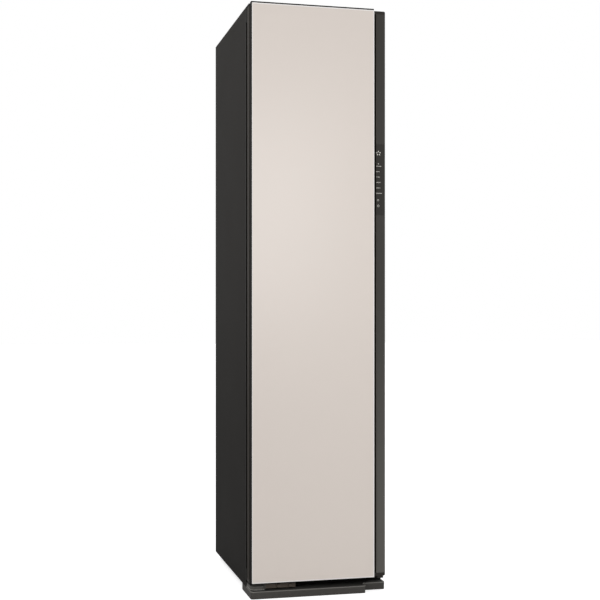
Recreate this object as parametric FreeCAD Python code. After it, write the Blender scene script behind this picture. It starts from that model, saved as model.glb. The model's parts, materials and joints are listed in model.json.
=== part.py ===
import FreeCAD, Part
import math
import os

from FreeCAD import Vector

# Clothes care steam cabinet. X runs to the right, Y to the back and Z up, in millimetres.
# The origin is on the floor, below the middle of the plan. The door is hinged on the left.

# ---------------------------------------------------------------- overall size
width = 445.0               # left side to right side
depth = 632.0               # door glass to the rear panel
height = 1850.0             # floor to the top cover
underside = 21.5            # floor to the cabinet's underside

# ---------------------------------------------------------------- stock and clearances
sheet = 1.2                 # painted steel sheet
fold = 14.0                 # width of a folded edge
bend = 1.0                  # inside radius of a fold
emboss = 3.0                # height of a pressed field
wall = 3.0                  # moulded plastic wall
thin_wall = 2.0             # wall of ducts and small housings
play = 0.3                  # gap between pieces that move past each other
fit = 0.05                  # radial clearance of a pin or shaft

# ---------------------------------------------------------------- layers of the front, glass first
glass_thick = 4.0
glass_bevel = 4.0           # polished bevel round the glass face
glass_bevel_depth = 0.8
carrier_depth = 24.0        # black frame that the glass is glued to
shell_depth = 33.0          # steel pan of the door
seal_gap = 17.0             # door to cabinet, filled by the gasket
frame_depth = 16.0          # moulded frame round the cabinet's mouth

# ---------------------------------------------------------------- door
door_bottom = 45.0
cap_height = 10.0           # plastic cap on each end of the door
cap_corner = 5.0            # rounding of the cap below and above the strip
stop_width = 22.0           # stop under the door's free side
stop_depth = 18.0
stop_height = 8.0
stop_inset = 4.0
glass_side_reveal = 2.0     # door edge seen beside the glass
glass_top_reveal = 6.0
glass_bottom_reveal = 4.0
carrier_reveal = 1.0
carrier_rib_pitch = 220.0
handle_width = 46.5         # glass edge to the door's free side
strip_width = 30.5          # metal strip beside the finger groove
strip_setback = 32.0        # strip face behind the glass face
strip_wall = 1.5
strip_round = 1.6
grip_undercut = 16.0        # how far fingers reach behind the glass edge
grip_depth = 22.0           # groove floor behind the strip face
window_bottom = 1198.0      # touch window on the strip
window_height = 227.0
window_thick = 1.0
window_margin = 0.6         # strip edge at the groove to the window
liner_border = 8.0          # door edge to the inner panel
liner_raise = 5.0           # raised field of the inner panel
liner_round = 12.0
gasket_width = 12.0
gasket_foot = 3.0
gasket_margin = 1.0         # cabinet mouth to the gasket
gasket_waist = 8.0
gasket_top_drop = 54.0      # top cover to the gasket's upper edge
gasket_bottom_rise = 4.0

# ---------------------------------------------------------------- door hinges
pin_inset = 12.0            # pin to the door's side
pin_setback = 20.0          # pin to the door's back
pin_radius = 4.0
pin_length = 30.0
hinge_inset = 8.0           # cabinet side to the hinge plates
bushing_radius = 7.0
bushing_length = 34.0
bushing_flange = 2.0
boss_radius = 10.5
hinge_plate = 4.0
hinge_leg_height = 42.0
hinge_leg_width = 66.0
arm_half_width = 9.0
arm_gap = 0.5               # arm to the door
lower_bar_length = 139.0    # bar that carries the lower hinge
lower_bar_rise = 5.5        # plinth deck to the bar
lower_bar_height = 13.5
lower_bar_setback = 24.0    # bar behind the glass face
lower_arm_inset = 2.0       # cabinet side to the lower arm
lower_arm_flare = 8.0       # the arm is wider at its root
lower_arm_thick = 12.0
lower_arm_front = 10.0      # arm's rounded end in front of the bar
lower_arm_round = 18.0
lower_arm_width = 46.0
lower_arm_drop = 8.0        # lower arm to the door's end
cover_thick = 4.2           # hinge cover over the upper arm
cover_reach = 11.5          # covers in front of the cabinet's frame
cover_wall = 2.5
cover_margin = 0.5          # cover beyond the hinge arm
cover_overlap = 4.0         # tongue in front of the pin
upper_cover_height = 50.0
lower_cover_height = 35.0
notch_side = 11.0           # pin to the wall of the door's notch
notch_front = 20.0

# ---------------------------------------------------------------- chamber
side_space = 26.5           # cabinet side to the chamber wall's inner face
rear_space = 70.0           # rear panel to the chamber's back
top_space = 158.0           # top cover to the chamber's ceiling
chamber_floor = 330.0
bead_raise = 1.2            # shallow beads that stiffen the chamber walls
bead_width = 9.0
bead_count = 5
bead_bottom = 60.0          # shelf ledges to the beads
bead_top = 120.0            # ceiling to the beads
shelf_height = 520.0        # top of the shelf ledges
ledge_width = 10.0
ledge_thick = 4.0
ledge_front = 50.0          # frame to the ledge's front end
ledge_rear = 34.0           # chamber back to the ledge's rear end
frame_wall = 2.5

# ---------------------------------------------------------------- shelf
shelf_side_gap = 3.0
shelf_thick = 12.0
shelf_rim = 9.0
shelf_slats = 11
shelf_slat_width = 6.0
shelf_slat_thick = 5.0
shelf_bar_count = 2
shelf_round = 10.0          # corners of the shelf's rim
shelf_inner_round = 4.0

# ---------------------------------------------------------------- hangers and their docks
hanger_pitch = 118.0
hanger_count = 3
hanger_reach = 190.0        # neck to the end of an arm
hanger_drop = 78.0          # fall of the arms from neck to end
hanger_neck_radius = 15.0
hanger_wall = 2.2
hanger_body_drop = 62.0     # ceiling to the middle of the body
hanger_body_height = 52.0
hanger_body_width = 34.0
hanger_end_height = 26.0
hanger_end_width = 22.0
dock_half_width = 34.0
dock_slot_half = 28.0
dock_gap_half = 19.0
dock_lip = 4.0
dock_slot_height = 5.5
dock_top = 2.5
dock_front = 30.0           # neck to the dock's open front
dock_rim = 5.0
outlet_radius = 18.0        # air outlet above each dock
outlet_height = 8.0
head_thick = 3.5
head_half_length = 20.0
hanger_end_round = 9.0      # corners of the shoulder ends, seen from the side
hanger_crown_round = 150.0  # shoulder line over the neck
hanger_belly_round = 120.0  # underside below the neck
hanger_waist_round = 200.0  # widest place, seen from above
hanger_jets = (0.32, 0.58, 0.84)    # shares of the reach at which the jets lie
hanger_jet_width = 7.0
hanger_jet_length = 26.0

# ---------------------------------------------------------------- floor fittings
filter_length = 230.0
filter_width = 36.0
filter_depth = 22.0
filter_setback = 60.0       # frame to the filter's middle
filter_flange = 7.0
filter_flange_thick = 3.0
filter_grip = 16.0          # height of the filter's pull tab
filter_tab_foot = 16.0      # half width of the tab at its foot
filter_tab_head = 11.0
filter_tab_round = 6.0
filter_bridge = 34.0        # width of the bar that carries the tab
filter_windows = 8
filter_window_width = 23.0
filter_window_margin = 4.0  # basket's ends and underside to its windows
filter_window_drop = 5.0    # chamber floor to the tops of the windows
rim_round = 6.0             # corners of the filter's rim and of the scent case's lid
scent_inward = 1.0          # off the middle between filter rim and chamber wall
scent_size = 32.0
scent_depth = 18.0
scent_flange = 5.0
scent_slots = 5
scent_slot_width = 2.0
scent_slot_margin = 5.0     # ends of the slots to the side of the case
steam_rear = 96.0           # chamber back to the steam outlet
steam_spigot = 18.0         # below the chamber floor
steam_shoulder = 9.0        # rim of the dome to its flat top
steam_slots = 6
steam_slot_width = 3.0
steam_slot_start = 4.0      # axis to the slots in the dome
steam_slot_z = (5.0, 8.0)   # their lower and upper edge
steam_radius = 34.0
steam_rise = 15.0
steam_pipe_radius = 11.0
grille_slots = 9
grille_slot_width = 7.0
grille_length = 90.0        # over the evaporator
grille_margin = 20.0        # chamber wall to the first slot
grille_inner = 30.0         # middle plane to the last slot

# ---------------------------------------------------------------- tanks and their bay
bay_floor = 62.0
bay_roof = 300.0
bay_depth = 212.0
bay_divider = 4.0
tank_setback = 38.0         # frame face to the tanks' fronts
tank_depth = 168.0
tank_height = 165.0
tank_side_gap = 3.0
tank_wall = 2.4
tank_round = 14.0
tank_grip_width = 96.0
tank_grip_height = 34.0
tank_grip_depth = 24.0
tank_grip_drop = 16.0       # tank top to the grip's roof
tank_grip_round = 8.0
mouth_radius = 19.0
mouth_height = 8.0
mouth_place = 70.0          # tank front to the mouth's middle
cap_thick = 4.0
cap_overhang = 3.0
cap_plug = 5.0
cap_pin_radius = 1.6
cap_barrel_radius = 3.2
cap_barrel_length = 18.0
cap_ear = 3.5
cap_tongue_lap = 4.0        # hinge tongue over the mouth
cap_lift_foot = 9.0         # half width of the lifting lug where it leaves the cap
cap_lift_tip = 6.0
cap_lift_reach = 5.0

# ---------------------------------------------------------------- base
base_wall_height = 30.0
base_thick = 2.0
foot_side = 42.5            # cabinet side to a foot's axis
foot_front = 14.0           # frame back to the front feet
foot_rear = 40.0            # rear panel to the rear feet
foot_radius = 15.0
foot_pad = 8.0
foot_slope = 3.0            # fall of the pad's upper face
foot_nut_radius = 9.0       # to the corners of the hexagon
foot_nut = 5.0
stem_radius = 5.0
stem_length = 26.0
foot_boss_radius = 9.5
foot_deck_hole = 12.0       # radius of the plinth deck's hole round a foot
foot_boss_height = 14.0     # lower than the compressor's base
plinth_wall = 3.0
plinth_height = 24.0
plinth_lift = 0.8           # plinth clear of the floor
plinth_step = 74.5          # stepped part below the handle strip
plinth_step_back = 36.0
plinth_reach = 44.0         # plinth sides behind the frame's back
plinth_deck = 3.0           # closed top, level with the cabinet's underside
plinth_round = 8.0

# ---------------------------------------------------------------- air duct, jet blower and its motor
duct_inset = 8.0            # coil housing side to the rear duct side
duct_clearance = 6.0        # rear duct to the rear panel
duct_bottom = 60.0
duct_top_drop = 60.0        # top cover to the duct's top
plenum_half_width = 165.0
plenum_front = 82.0         # hanger necks to the plenum's front
plenum_rear = 58.0
plenum_height = 40.0
plenum_round = 12.0
plenum_inner_round = 10.0
jet_margin = 10.0           # plenum's front and rear to the jet slots
jet_slots = 4
jet_slot_length = 46.0
jet_slot_width = 5.0
scroll_rear = 136.0         # chamber back to the blower's axis
scroll_start = 92.0         # radius where the scroll starts
scroll_end = 134.0          # radius where the scroll ends
scroll_height = 62.0
scroll_mouth = 60.0         # length of the throat down into the plenum
throat_front = 20.0         # plenum front to the throat
eye_radius = 56.0
impeller_radius = 80.0
impeller_height = 42.0
impeller_plate = 2.5
impeller_gap = 6.0          # scroll floor to the impeller
impeller_hub_radius = 14.0
blade_count = 7
blade_thick = 2.2
blade_inner_radius = 42.0
blade_sweep = 38.0          # degrees a blade falls back from root to tip
shaft_radius = 4.0
motor_radius = 40.0
motor_height = 22.0
motor_gap = 3.0             # scroll case to the motor
motor_step = 4.0            # steps and chamfers of the motor's can
motor_neck = 10.0           # can to the neck below it
motor_arms = 3
motor_arm = 11.0
motor_arm_top = 7.0
motor_arm_reach = 12.0      # eye to the outer end of an arm
motor_leg_start = 3.0       # eye to the leg below the arm
motor_shaft_reach = 3.0     # below the impeller
motor_shaft_lap = 2.0
impeller_hub_share = 0.7    # of the impeller's height
shroud_lip = 4.0            # blade roots to the shroud's inner edge
box_width = 300.0           # electronics box above the ceiling
box_depth = 84.0
box_height = 44.0
box_front = 14.0
box_round = 5.0
box_ribs = 8
box_rib_thick = 2.0
box_rib_height = 4.0
box_rib_margin = 10.0       # ends of the ribs to the box's front and rear
box_rib_start = 20.0        # side of the box to the first rib's bay
lamp_width = 170.0
lamp_depth = 14.0
lamp_thick = 5.0
lamp_setback = 8.0          # frame back to the lamp
lamp_round = 5.0

# ---------------------------------------------------------------- heat pump and water parts
coil_left = 24.0            # cabinet side to the coil housing
coil_housing_width = 236.0
coil_housing_depth = 195.0  # behind it the housing opens into the rear duct
coil_housing_height = 252.0
coil_width = 200.0
coil_height = 190.0
coil_rise = 16.0
evaporator_depth = 44.0
condenser_depth = 58.0
coil_gap = 10.0
fin_count = 14
fin_thick = 1.0
coil_tube_radius = 4.5
coil_tube_rows = 4
bend_reach = 12.0           # coil end to the back of a hairpin bend
coil_end_plate = 2.0
fan_radius = 78.0
fan_blades = 7
fan_hub_radius = 24.0
fan_depth = 26.0
fan_blade_taper = 6.0       # blade narrower than the hub is long
fan_blade_thick = 2.0
fan_root = 3.0              # blade let into the hub
fan_pitch = 35.0            # degrees a blade is turned out of the fan's plane
fan_hub_inset = 2.0         # fan ring's ends to the hub's
fan_motor_radius = 27.0
fan_motor_gap = 2.0         # motor to the condenser and to the fan
fan_bar_front = 4.0         # motor's front to the bar that carries it
fan_bar_back = 10.0
fan_bar_height = 14.0
fan_tip_gap = 4.0
compressor_radius = 58.0
compressor_height = 165.0
compressor_right = 88.0     # cabinet side to the compressor's axis
compressor_rear = 80.0      # rear panel to the compressor's axis
compressor_dome = 30.0
weld_height = 102.0         # compressor base to the weld belt
weld_width = 8.0
weld_raise = 2.0
terminal_reach = 10.0       # terminal cover beyond the shell
terminal_width = 44.0
terminal_bottom = 60.0
terminal_height = 52.0
compressor_lift = 14.0
mount_radius = 11.0
mount_circle = 58.0
mount_plate = 3.0
mount_spread = 16.0         # plate corner beyond a mount
mount_angles = (0, 120, 240)
boiler_length = 130.0
boiler_depth = 62.0
boiler_height = 70.0
boiler_round = 9.0
boiler_leg = 18.0
hose_drop = 40.0            # steam outlet to the hose's level run
boiler_right = 150.0        # cabinet side to the boiler's left end
boiler_front = 8.0          # bay back to the boiler
boiler_lap = 2.0            # legs and spout let into the boiler
boiler_lid_rim = 3.0
boiler_lid_drop = 16.0      # boiler's top to the middle of the lid's seam
boiler_lid_thick = 4.0
boiler_leg_width = 12.0
boiler_leg_place = 20.0     # boiler's ends to the legs
boiler_leg_inset = 6.0      # boiler's front and rear to the legs' edges
boiler_spout = 10.0
heater_radius = 4.0         # heater terminals at the boiler's end
heater_stand = 9.0
heater_length = 14.0
heater_rise = 14.0          # boiler's underside to the terminals
heater_place = 16.0         # boiler's front and rear to the terminals
hose_bend = 24.0            # radius of the hose's bends
pump_lift = 2.0             # pan to the pumps
pump_can_share = 0.55       # of the pump's length
pump_head_share = 0.2
pump_head_slim = 0.8        # of the pump's radius
pump_foot_share = 1.6       # foot width to the pump's radius
pump_foot_start = 4.0
pump_foot_length = 20.0
nozzle_radius = 4.0
nozzle_share = 0.65         # place along the pump's length
nozzle_reach = 8.0          # above the pump
pump_radius = 17.0
pump_length = 56.0
pump_gap = 6.0
pipe_radius = 4.0
pipe_bend = 14.0
pipe_spread = 32.0          # between the two pipes on the compressor
suction_rise = 34.0
discharge_rise = 18.0
gland_radius = 9.0
gland_place = 150.0         # X of the cord gland
gland_height = 74.0
gland_body = 10.0           # inside the rear panel
gland_inner_flange = 3.0
gland_outer_flange = 2.0
gland_bore = 6.0            # depth of the blind bore inside the panel
gland_flange_radius = 13.0
rear_field_margin = 60.0    # panel side to the pressed fields
rear_field_bottom = 330.0   # underside to the lower field
rear_field_gap = 60.0       # between the two fields
rear_field_middle = 120.0   # half height to the middle of that gap
rear_field_top = 90.0
vent_rows = 8
vent_width = 110.0
vent_slot = 5.0
vent_pitch = 15.0
vent_bottom = 110.0
vent_middle = 95.0          # X of each column of vents

# ================================================================ places worked out from the sizes
UP = Vector(0, 0, 1)
BACK = Vector(0, 1, 0)
RIGHT = Vector(1, 0, 0)

half = width / 2
y_front = -depth / 2
y_back = depth / 2
y_glass = y_front + glass_thick             # back of the glass
y_shell = y_glass + carrier_depth           # front of the door's pan
y_door = y_shell + shell_depth              # back of the door's pan
y_frame = y_door + seal_gap                 # front of the cabinet's frame
y_panel = y_frame + frame_depth             # front of the side panels
y_rear = y_back - emboss - sheet            # inside of the rear panel
x_in = half - side_space                    # chamber wall
scent_place = (filter_length / 2 + filter_flange + x_in) / 2 - scent_inward
y_in = y_back - rear_space                  # chamber back
z_ceiling = height - top_space

x_glass = half - handle_width               # free edge of the glass
x_strip = half - strip_width
y_strip = y_front + strip_setback
y_groove = y_strip + grip_depth
x_groove = x_glass - grip_undercut
cap_low = (door_bottom, door_bottom + cap_height)
cap_high = (height - cap_height, height)
pan_z = (cap_low[1], cap_high[0])           # height range of the door's pan and profiles

pin_x = -half + pin_inset
pin_y = y_door - pin_setback
z_arm = height - cover_thick - play - hinge_plate
z_notch = z_arm - arm_gap
z_lower_arm = door_bottom - lower_arm_drop  # top of the lower arm

bay_y = (y_panel, y_panel + bay_depth)
tank_y = (y_frame + tank_setback, y_frame + tank_setback + tank_depth)
tank_z = bay_floor + wall + play
filter_y = y_frame + filter_setback
foot_places = [(side * (half - foot_side), y) for side in (-1, 1)
               for y in (y_panel + foot_front, y_back - foot_rear)]
base_top = underside + base_thick
hanger_y = (y_panel + y_in) / 2
plenum_y = (hanger_y - plenum_front, hanger_y + plenum_rear)
plenum_z = (z_ceiling + wall, z_ceiling + wall + plenum_height)
scroll_z = (plenum_z[1], plenum_z[1] + scroll_height)
throat_x = (scroll_start, scroll_end)
throat_y = (plenum_y[0] + throat_front, plenum_y[0] + throat_front + scroll_mouth)
impeller_z = (scroll_z[0] + thin_wall + impeller_gap,
              scroll_z[0] + thin_wall + impeller_gap + impeller_height)
scroll_y = y_in - scroll_rear
steam_x = half - boiler_right + boiler_length / 2
steam_y = y_in - steam_rear
shelf_y = (y_frame + ledge_front, y_in - ledge_rear)
bead_z = (shelf_height + bead_bottom, z_ceiling - bead_top)
gasket_z = (door_bottom + gasket_bottom_rise, height - gasket_top_drop)
gasket_x = (-x_in - gasket_width - gasket_margin, x_in + gasket_width + gasket_margin)
compressor_place = (half - compressor_right, y_back - compressor_rear)
mount_places = [(compressor_place[0] + mount_circle * math.cos(math.radians(angle)),
                 compressor_place[1] + mount_circle * math.sin(math.radians(angle)))
                for angle in mount_angles]
coil_x = (-half + coil_left, -half + coil_left + coil_housing_width)
coil_middle = sum(coil_x) / 2
coil_z = base_top + coil_rise
coil_y = (y_in + wall - coil_housing_depth, y_in + wall)
evaporator_y = (coil_y[0] + coil_gap, coil_y[0] + coil_gap + evaporator_depth)
condenser_y = (evaporator_y[1] + coil_gap, evaporator_y[1] + coil_gap + condenser_depth)
fan_y = (condenser_y[1] + 2 * coil_gap, condenser_y[1] + 2 * coil_gap + fan_depth)
fan_z = coil_z + coil_height / 2
hangers_x = [hanger_pitch * (i - (hanger_count - 1) / 2) for i in range(hanger_count)]


# ================================================================ drawing helpers
def block(x, y, z):
    """Box between the two values of each range."""
    return Part.makeBox(x[1] - x[0], y[1] - y[0], z[1] - z[0], Vector(x[0], y[0], z[0]))


def around(middle, size):
    """Range of one size about a middle."""
    return (middle - size / 2, middle + size / 2)


def inset(span, amount):
    return (span[0] + amount, span[1] - amount)


def rod(radius, place, length, axis=UP):
    return Part.makeCylinder(radius, length, Vector(*place), axis)


def tube(outer, inner, place, length, axis=UP):
    return rod(outer, place, length, axis).cut(rod(inner, place, length, axis))


def mirrored(shape):
    """The same piece for the other side of the cabinet."""
    return shape.mirror(Vector(0, 0, 0), RIGHT)


def bays(low, high, count):
    """Middles of equal bays between two places."""
    return [low + (high - low) * (i + 0.5) / count for i in range(count)]


def hexagon(place, radius):
    """Corners of a hexagon about a place in plan."""
    turns = [math.radians(60 * i) for i in range(6)]
    return [(place[0] + radius * math.cos(turn), place[1] + radius * math.sin(turn)) for turn in turns]


def rectangle(u, v):
    return [(u[0], v[0]), (u[1], v[0]), (u[1], v[1]), (u[0], v[1])]


VIEWS = {
    "plan": (lambda u, v: Vector(u, v, 0), UP),
    "front": (lambda u, v: Vector(u, 0, v), BACK),
    "side": (lambda u, v: Vector(0, u, v), RIGHT),
}


def corner_arc(before, corner, after, radius):
    """Start, middle and end of the arc that rounds a corner."""
    back = (before - corner).normalize()
    ahead = (after - corner).normalize()
    half_angle = back.getAngle(ahead) / 2
    inward = (back + ahead).normalize()
    reach = radius / math.tan(half_angle)
    middle = corner + inward * (radius / math.sin(half_angle) - radius)
    return corner + back * reach, middle, corner + ahead * reach


def rounded_wire(points, radii, closed=True):
    """Wire through the points, each corner rounded by its own radius."""
    count = len(points)
    corners = []
    for i, point in enumerate(points):
        inner = closed or 0 < i < count - 1
        if radii[i] > 0 and inner:
            corners.append(corner_arc(points[i - 1], point, points[(i + 1) % count], radii[i]))
        else:
            corners.append((point, None, point))
    edges = []
    for i, (start, middle, end) in enumerate(corners):
        if middle is not None:
            edges.append(Part.Arc(start, middle, end).toShape())
        if closed or i < count - 1:
            following = corners[(i + 1) % count][0]
            if end.distanceToPoint(following) > 1e-6:
                edges.append(Part.LineSegment(end, following).toShape())
    return Part.Wire(edges)


def prism(points, view, span, radius=0.0):
    """Outline drawn in one view and pushed along that view's direction over a range."""
    lay, push = VIEWS[view]
    radii = radius if isinstance(radius, list) else [radius] * len(points)
    placed = [lay(u, v) + push * span[0] for u, v in points]
    return Part.Face(rounded_wire(placed, radii)).extrude(push * (span[1] - span[0]))


def beside(path, distance, closed=False):
    """The path moved to its left by a distance, with square mitres."""
    count = len(path)
    moved = []
    for i, (u, v) in enumerate(path):
        normals = []
        for a, b in ((i - 1, i), (i, i + 1)):
            if closed or (a >= 0 and b < count):
                du, dv = path[b % count][0] - path[a][0], path[b % count][1] - path[a][1]
                length = math.hypot(du, dv)
                normals.append((-dv / length, du / length))
        first, last = normals[0], normals[-1]
        if len(normals) == 1:
            moved.append((u + first[0] * distance, v + first[1] * distance))
        else:
            share = distance / (1 + first[0] * last[0] + first[1] * last[1])
            moved.append((u + (first[0] + last[0]) * share, v + (first[1] + last[1]) * share))
    return moved


def folded(path, thickness, view, span, inside=bend):
    """Sheet folded along a path, its thickness to the left of the path."""
    near, far = [0.0], [0.0]
    for (a, b), (c, d), (e, f) in zip(path, path[1:], path[2:]):
        left_turn = (c - a) * (f - d) - (d - b) * (e - c) > 0
        near.append(inside + thickness if left_turn else inside)
        far.append(inside if left_turn else inside + thickness)
    near.append(0.0)
    far.append(0.0)
    outline = path + beside(path, thickness)[::-1]
    return prism(outline, view, span, near + far[::-1])


def pipe(points, radius, corner):
    """Round pipe whose corners are cut off by short oblique runs."""
    places = [Vector(*point) for point in points]
    route = places[:1]
    for before, place, after in zip(places, places[1:], places[2:]):
        enter, _, leave = corner_arc(before, place, after, corner)
        route += [enter, leave]
    route.append(places[-1])
    end = Part.Wire(Part.makeCircle(radius, route[0], route[1] - route[0]))
    mitred = 1
    return Part.makePolygon(route).makePipeShell([end], True, True, mitred)


def revolved(points, place, radius=0.0):
    """Outline of radius and height turned about a vertical axis."""
    radii = radius if isinstance(radius, list) else [radius] * len(points)
    placed = [Vector(place[0] + r, place[1], place[2] + h) for r, h in points]
    return Part.Face(rounded_wire(placed, radii)).revolve(Vector(*place), UP, 360)


def pressed(plate, form, hollow):
    """Plate with a field pressed out of it: the form outside and the hollow behind it."""
    return plate.cut(hollow).fuse(form.cut(hollow)).removeSplitter()


# ================================================================ outer casing
def side_panel():
    """Left side sheet with its front and rear edges folded in."""
    path = [(-half + fold, y_rear), (-half, y_rear), (-half, y_panel), (-half + fold, y_panel)]
    return folded(path, sheet, "plan", (underside, height))


def top_cover():
    """Lid let in between the side sheets, with a skirt and a field pressed down."""
    x = (-half + sheet, half - sheet)
    y = (y_panel + sheet + bend, y_rear - sheet - bend)
    lid = block(x, y, (height - fold, height))
    lid = lid.cut(block(inset(x, sheet), inset(y, sheet), (height - fold, height - sheet)))
    field = [inset(span, 2 * fold) for span in (x, y)]
    form = block(*field, (height - emboss - sheet, height))
    hollow = block(*[inset(span, sheet) for span in field], (height - emboss, height))
    return pressed(lid, form, hollow)


def rear_panel():
    """Back sheet with two stiffening fields, vents for the machine space and a gland hole."""
    low_face = y_back - emboss
    plate = block((-half, half), (y_rear, low_face), (underside, height))
    x = inset((-half, half), rear_field_margin)
    gap_z = around(height / 2 + rear_field_middle, rear_field_gap)
    for low, high in ((underside + rear_field_bottom, gap_z[0]), (gap_z[1], height - rear_field_top)):
        form = block(x, (y_rear, y_back), (low, high))
        hollow = block(inset(x, sheet), (y_rear, y_back - sheet), inset((low, high), sheet))
        plate = pressed(plate, form, hollow)
    slots = []
    for side in (-1, 1):
        for row in range(vent_rows):
            z = around(vent_bottom + row * vent_pitch, vent_slot)
            slots.append(block(around(side * vent_middle, vent_width), (y_rear, y_back), z))
    gland = rod(gland_radius, (gland_place, y_rear, gland_height), y_back - y_rear, BACK)
    return plate.cut(slots + [gland])


def front_frame():
    """Moulded frame round the cabinet's mouth, hollow behind, with a hanging and a tank mouth."""
    x = (-x_in, x_in)
    mouths = [(bay_floor, bay_roof), (chamber_floor, z_ceiling)]
    ring = block((-half, half), (y_frame, y_panel), (underside, height))
    ring = ring.cut([block(x, (y_frame, y_panel), z) for z in mouths])
    hollow = block(inset((-half, half), frame_wall), (y_frame + frame_wall, y_panel),
                   inset((underside, height), frame_wall))
    grown = [block(inset(x, -frame_wall), (y_frame, y_panel), inset(z, -frame_wall))
             for z in mouths]
    return ring.cut(hollow.cut(grown))


def base_frame():
    """Bottom pan with turned-up sides, a boss over each foot and three compressor mounts."""
    x = (-half + sheet, half - sheet)
    y = (y_panel + sheet + bend, y_rear - sheet - bend)
    pan = block(x, y, (underside, underside + base_wall_height))
    pan = pan.cut(block(inset(x, base_thick), inset(y, base_thick),
                        (base_top, underside + base_wall_height)))
    bosses = [prism(hexagon(place, foot_boss_radius), "plan", (underside, underside + foot_boss_height))
              for place in foot_places]
    mounts = [prism(hexagon(place, mount_radius), "plan", (underside, base_top + compressor_lift))
              for place in mount_places]
    pan = pan.fuse(bosses + mounts)
    bores = [rod(stem_radius + fit, (*place, underside), foot_boss_height)
             for place in foot_places]
    return pan.cut(bores).removeSplitter()


def levelling_foot(place):
    """Pad, hexagon and stem of one screw foot."""
    x, y = place
    pad = revolved([(0, 0), (foot_radius, 0), (foot_radius, foot_pad - foot_slope),
                    (foot_nut_radius, foot_pad), (0, foot_pad)], (x, y, 0))
    nut = prism(hexagon(place, foot_nut_radius), "plan", (foot_pad, foot_pad + foot_nut))
    stem = rod(stem_radius, (x, y, foot_pad), stem_length)
    return pad.fuse([nut, stem]).removeSplitter()


def base_plinth():
    """Kick plinth below the door: a rim round a closed deck, stepped back at the handle strip."""
    y_end = y_panel + plinth_reach
    y_step = y_front + plinth_step_back
    x_step = half - plinth_step
    path = [(-half, y_end), (-half, y_front), (x_step, y_front), (x_step, y_step),
            (half, y_step), (half, y_end)]
    corner = plinth_round - plinth_wall
    walls = folded(path, plinth_wall, "plan", (plinth_lift, plinth_height), corner)
    inner = beside(path, plinth_wall / 2)
    deck_z = (underside - plinth_deck, underside)
    deck = prism(inner, "plan", deck_z, [0, corner, corner, 0, 0, 0])
    deck = deck.cut([rod(foot_deck_hole, (*place, deck_z[0]), plinth_deck) for place in foot_places])
    below_cabinet = block((-half, half), (y_frame, y_end), (underside, plinth_height))
    return walls.fuse(deck).cut(below_cabinet).removeSplitter()


def cord_gland():
    """Moulded inlet gland of the rear panel, blind inside."""
    low_face = y_back - emboss

    def turned(radius, front, back):
        return rod(radius, (gland_place, front, gland_height), back - front, BACK)

    body = turned(gland_radius, y_rear - gland_body, low_face)
    flange = turned(gland_flange_radius, low_face, low_face + gland_outer_flange)
    inner = turned(gland_flange_radius, y_rear - gland_inner_flange, y_rear)
    bore = turned(gland_radius / 2, y_rear - gland_bore, low_face + gland_outer_flange)
    return body.fuse([flange, inner]).cut(bore).removeSplitter()


# ================================================================ door hinges
def pin_place(z):
    return (pin_x, pin_y, z)


def upper_hinge():
    """Angle bolted to the frame, with an arm over the door and a pin pointing down."""
    arm_z = (z_arm, z_arm + hinge_plate)
    leg_x = (-half + hinge_inset, -half + hinge_inset + hinge_leg_width)
    leg = block(leg_x, (y_frame - hinge_plate, y_frame), (arm_z[1] - hinge_leg_height, arm_z[1]))
    arm = block(around(pin_x, 2 * arm_half_width), (pin_y, y_frame), arm_z)
    arm = arm.fuse(rod(arm_half_width, pin_place(z_arm), hinge_plate))
    return leg.fuse([arm, rod(pin_radius, pin_place(z_arm - pin_length), pin_length)])


def lower_hinge():
    """Cast arm on the plinth deck with a rounded end, a bar across it and a pin pointing up."""
    bar_y = (y_front + lower_bar_setback, y_front + lower_bar_setback + hinge_plate)
    bar_low = underside + lower_bar_rise
    bar = block((-half + hinge_inset, -half + hinge_inset + lower_bar_length), bar_y,
                (bar_low, bar_low + lower_bar_height))
    left = -half + lower_arm_inset
    right, front = left + lower_arm_width, bar_y[0] - lower_arm_front
    outline = [(left, y_panel), (left, front), (right, front), (right + lower_arm_flare, y_frame),
               (right + lower_arm_flare, y_panel)]
    arm_low = z_lower_arm - lower_arm_thick
    arm = prism(outline, "plan", (arm_low, z_lower_arm), [0, lower_arm_round, lower_arm_round, 0, 0])
    under_frame = block((-half, half), (y_frame, y_panel), (underside, z_lower_arm))
    foot = block((left + lower_arm_round, right), (bar_y[1], y_frame), (underside, arm_low))
    pin = rod(pin_radius, pin_place(arm_low), pin_length + lower_arm_thick)
    return bar.fuse([arm.cut(under_frame), foot, pin]).removeSplitter()


def hinge_covers():
    """Caps that close the gap beside the gasket at both hinges."""
    face = y_frame - cover_reach
    upper_z = (height - upper_cover_height, height)
    tongue_z = (height - cover_thick, height)
    room_top = tongue_z[0] - play
    tongue_half = arm_half_width + cover_margin
    x = (-half + cover_margin, -half + hinge_inset + hinge_leg_width + cover_wall)
    upper = block(x, (face, y_frame), upper_z)
    tongue = block((x[0], pin_x + tongue_half), (pin_y - cover_overlap, face), tongue_z)
    nose = rod(tongue_half, pin_place(tongue_z[0]), cover_thick)
    room = block((-half + hinge_inset, x[1] - cover_wall), (face + cover_wall, y_frame),
                 (upper_z[0] + cover_wall, room_top))
    arm_way = block(around(pin_x, 2 * arm_half_width), (face, y_frame), (z_arm - arm_gap, room_top))
    upper = upper.fuse([tongue, nose]).cut([room, arm_way]).removeSplitter()
    lower = block((-half + cover_margin, pin_x - cover_margin), (face, y_frame),
                  (door_bottom, door_bottom + lower_cover_height))
    return Part.makeCompound([upper, lower])


# ================================================================ door
def door_section():
    """Plan outline of the door behind the glass: full width, set back at the handle strip."""
    return [(-half, y_door), (-half, y_shell), (x_glass, y_shell), (x_glass, y_strip),
            (half, y_strip), (half, y_door)]


def hinge_notch():
    """Room at the door's upper corner for the hinge arm and its cover."""
    return block((-half, pin_x + notch_side), (pin_y - notch_front, y_door), (z_notch, height))


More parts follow.
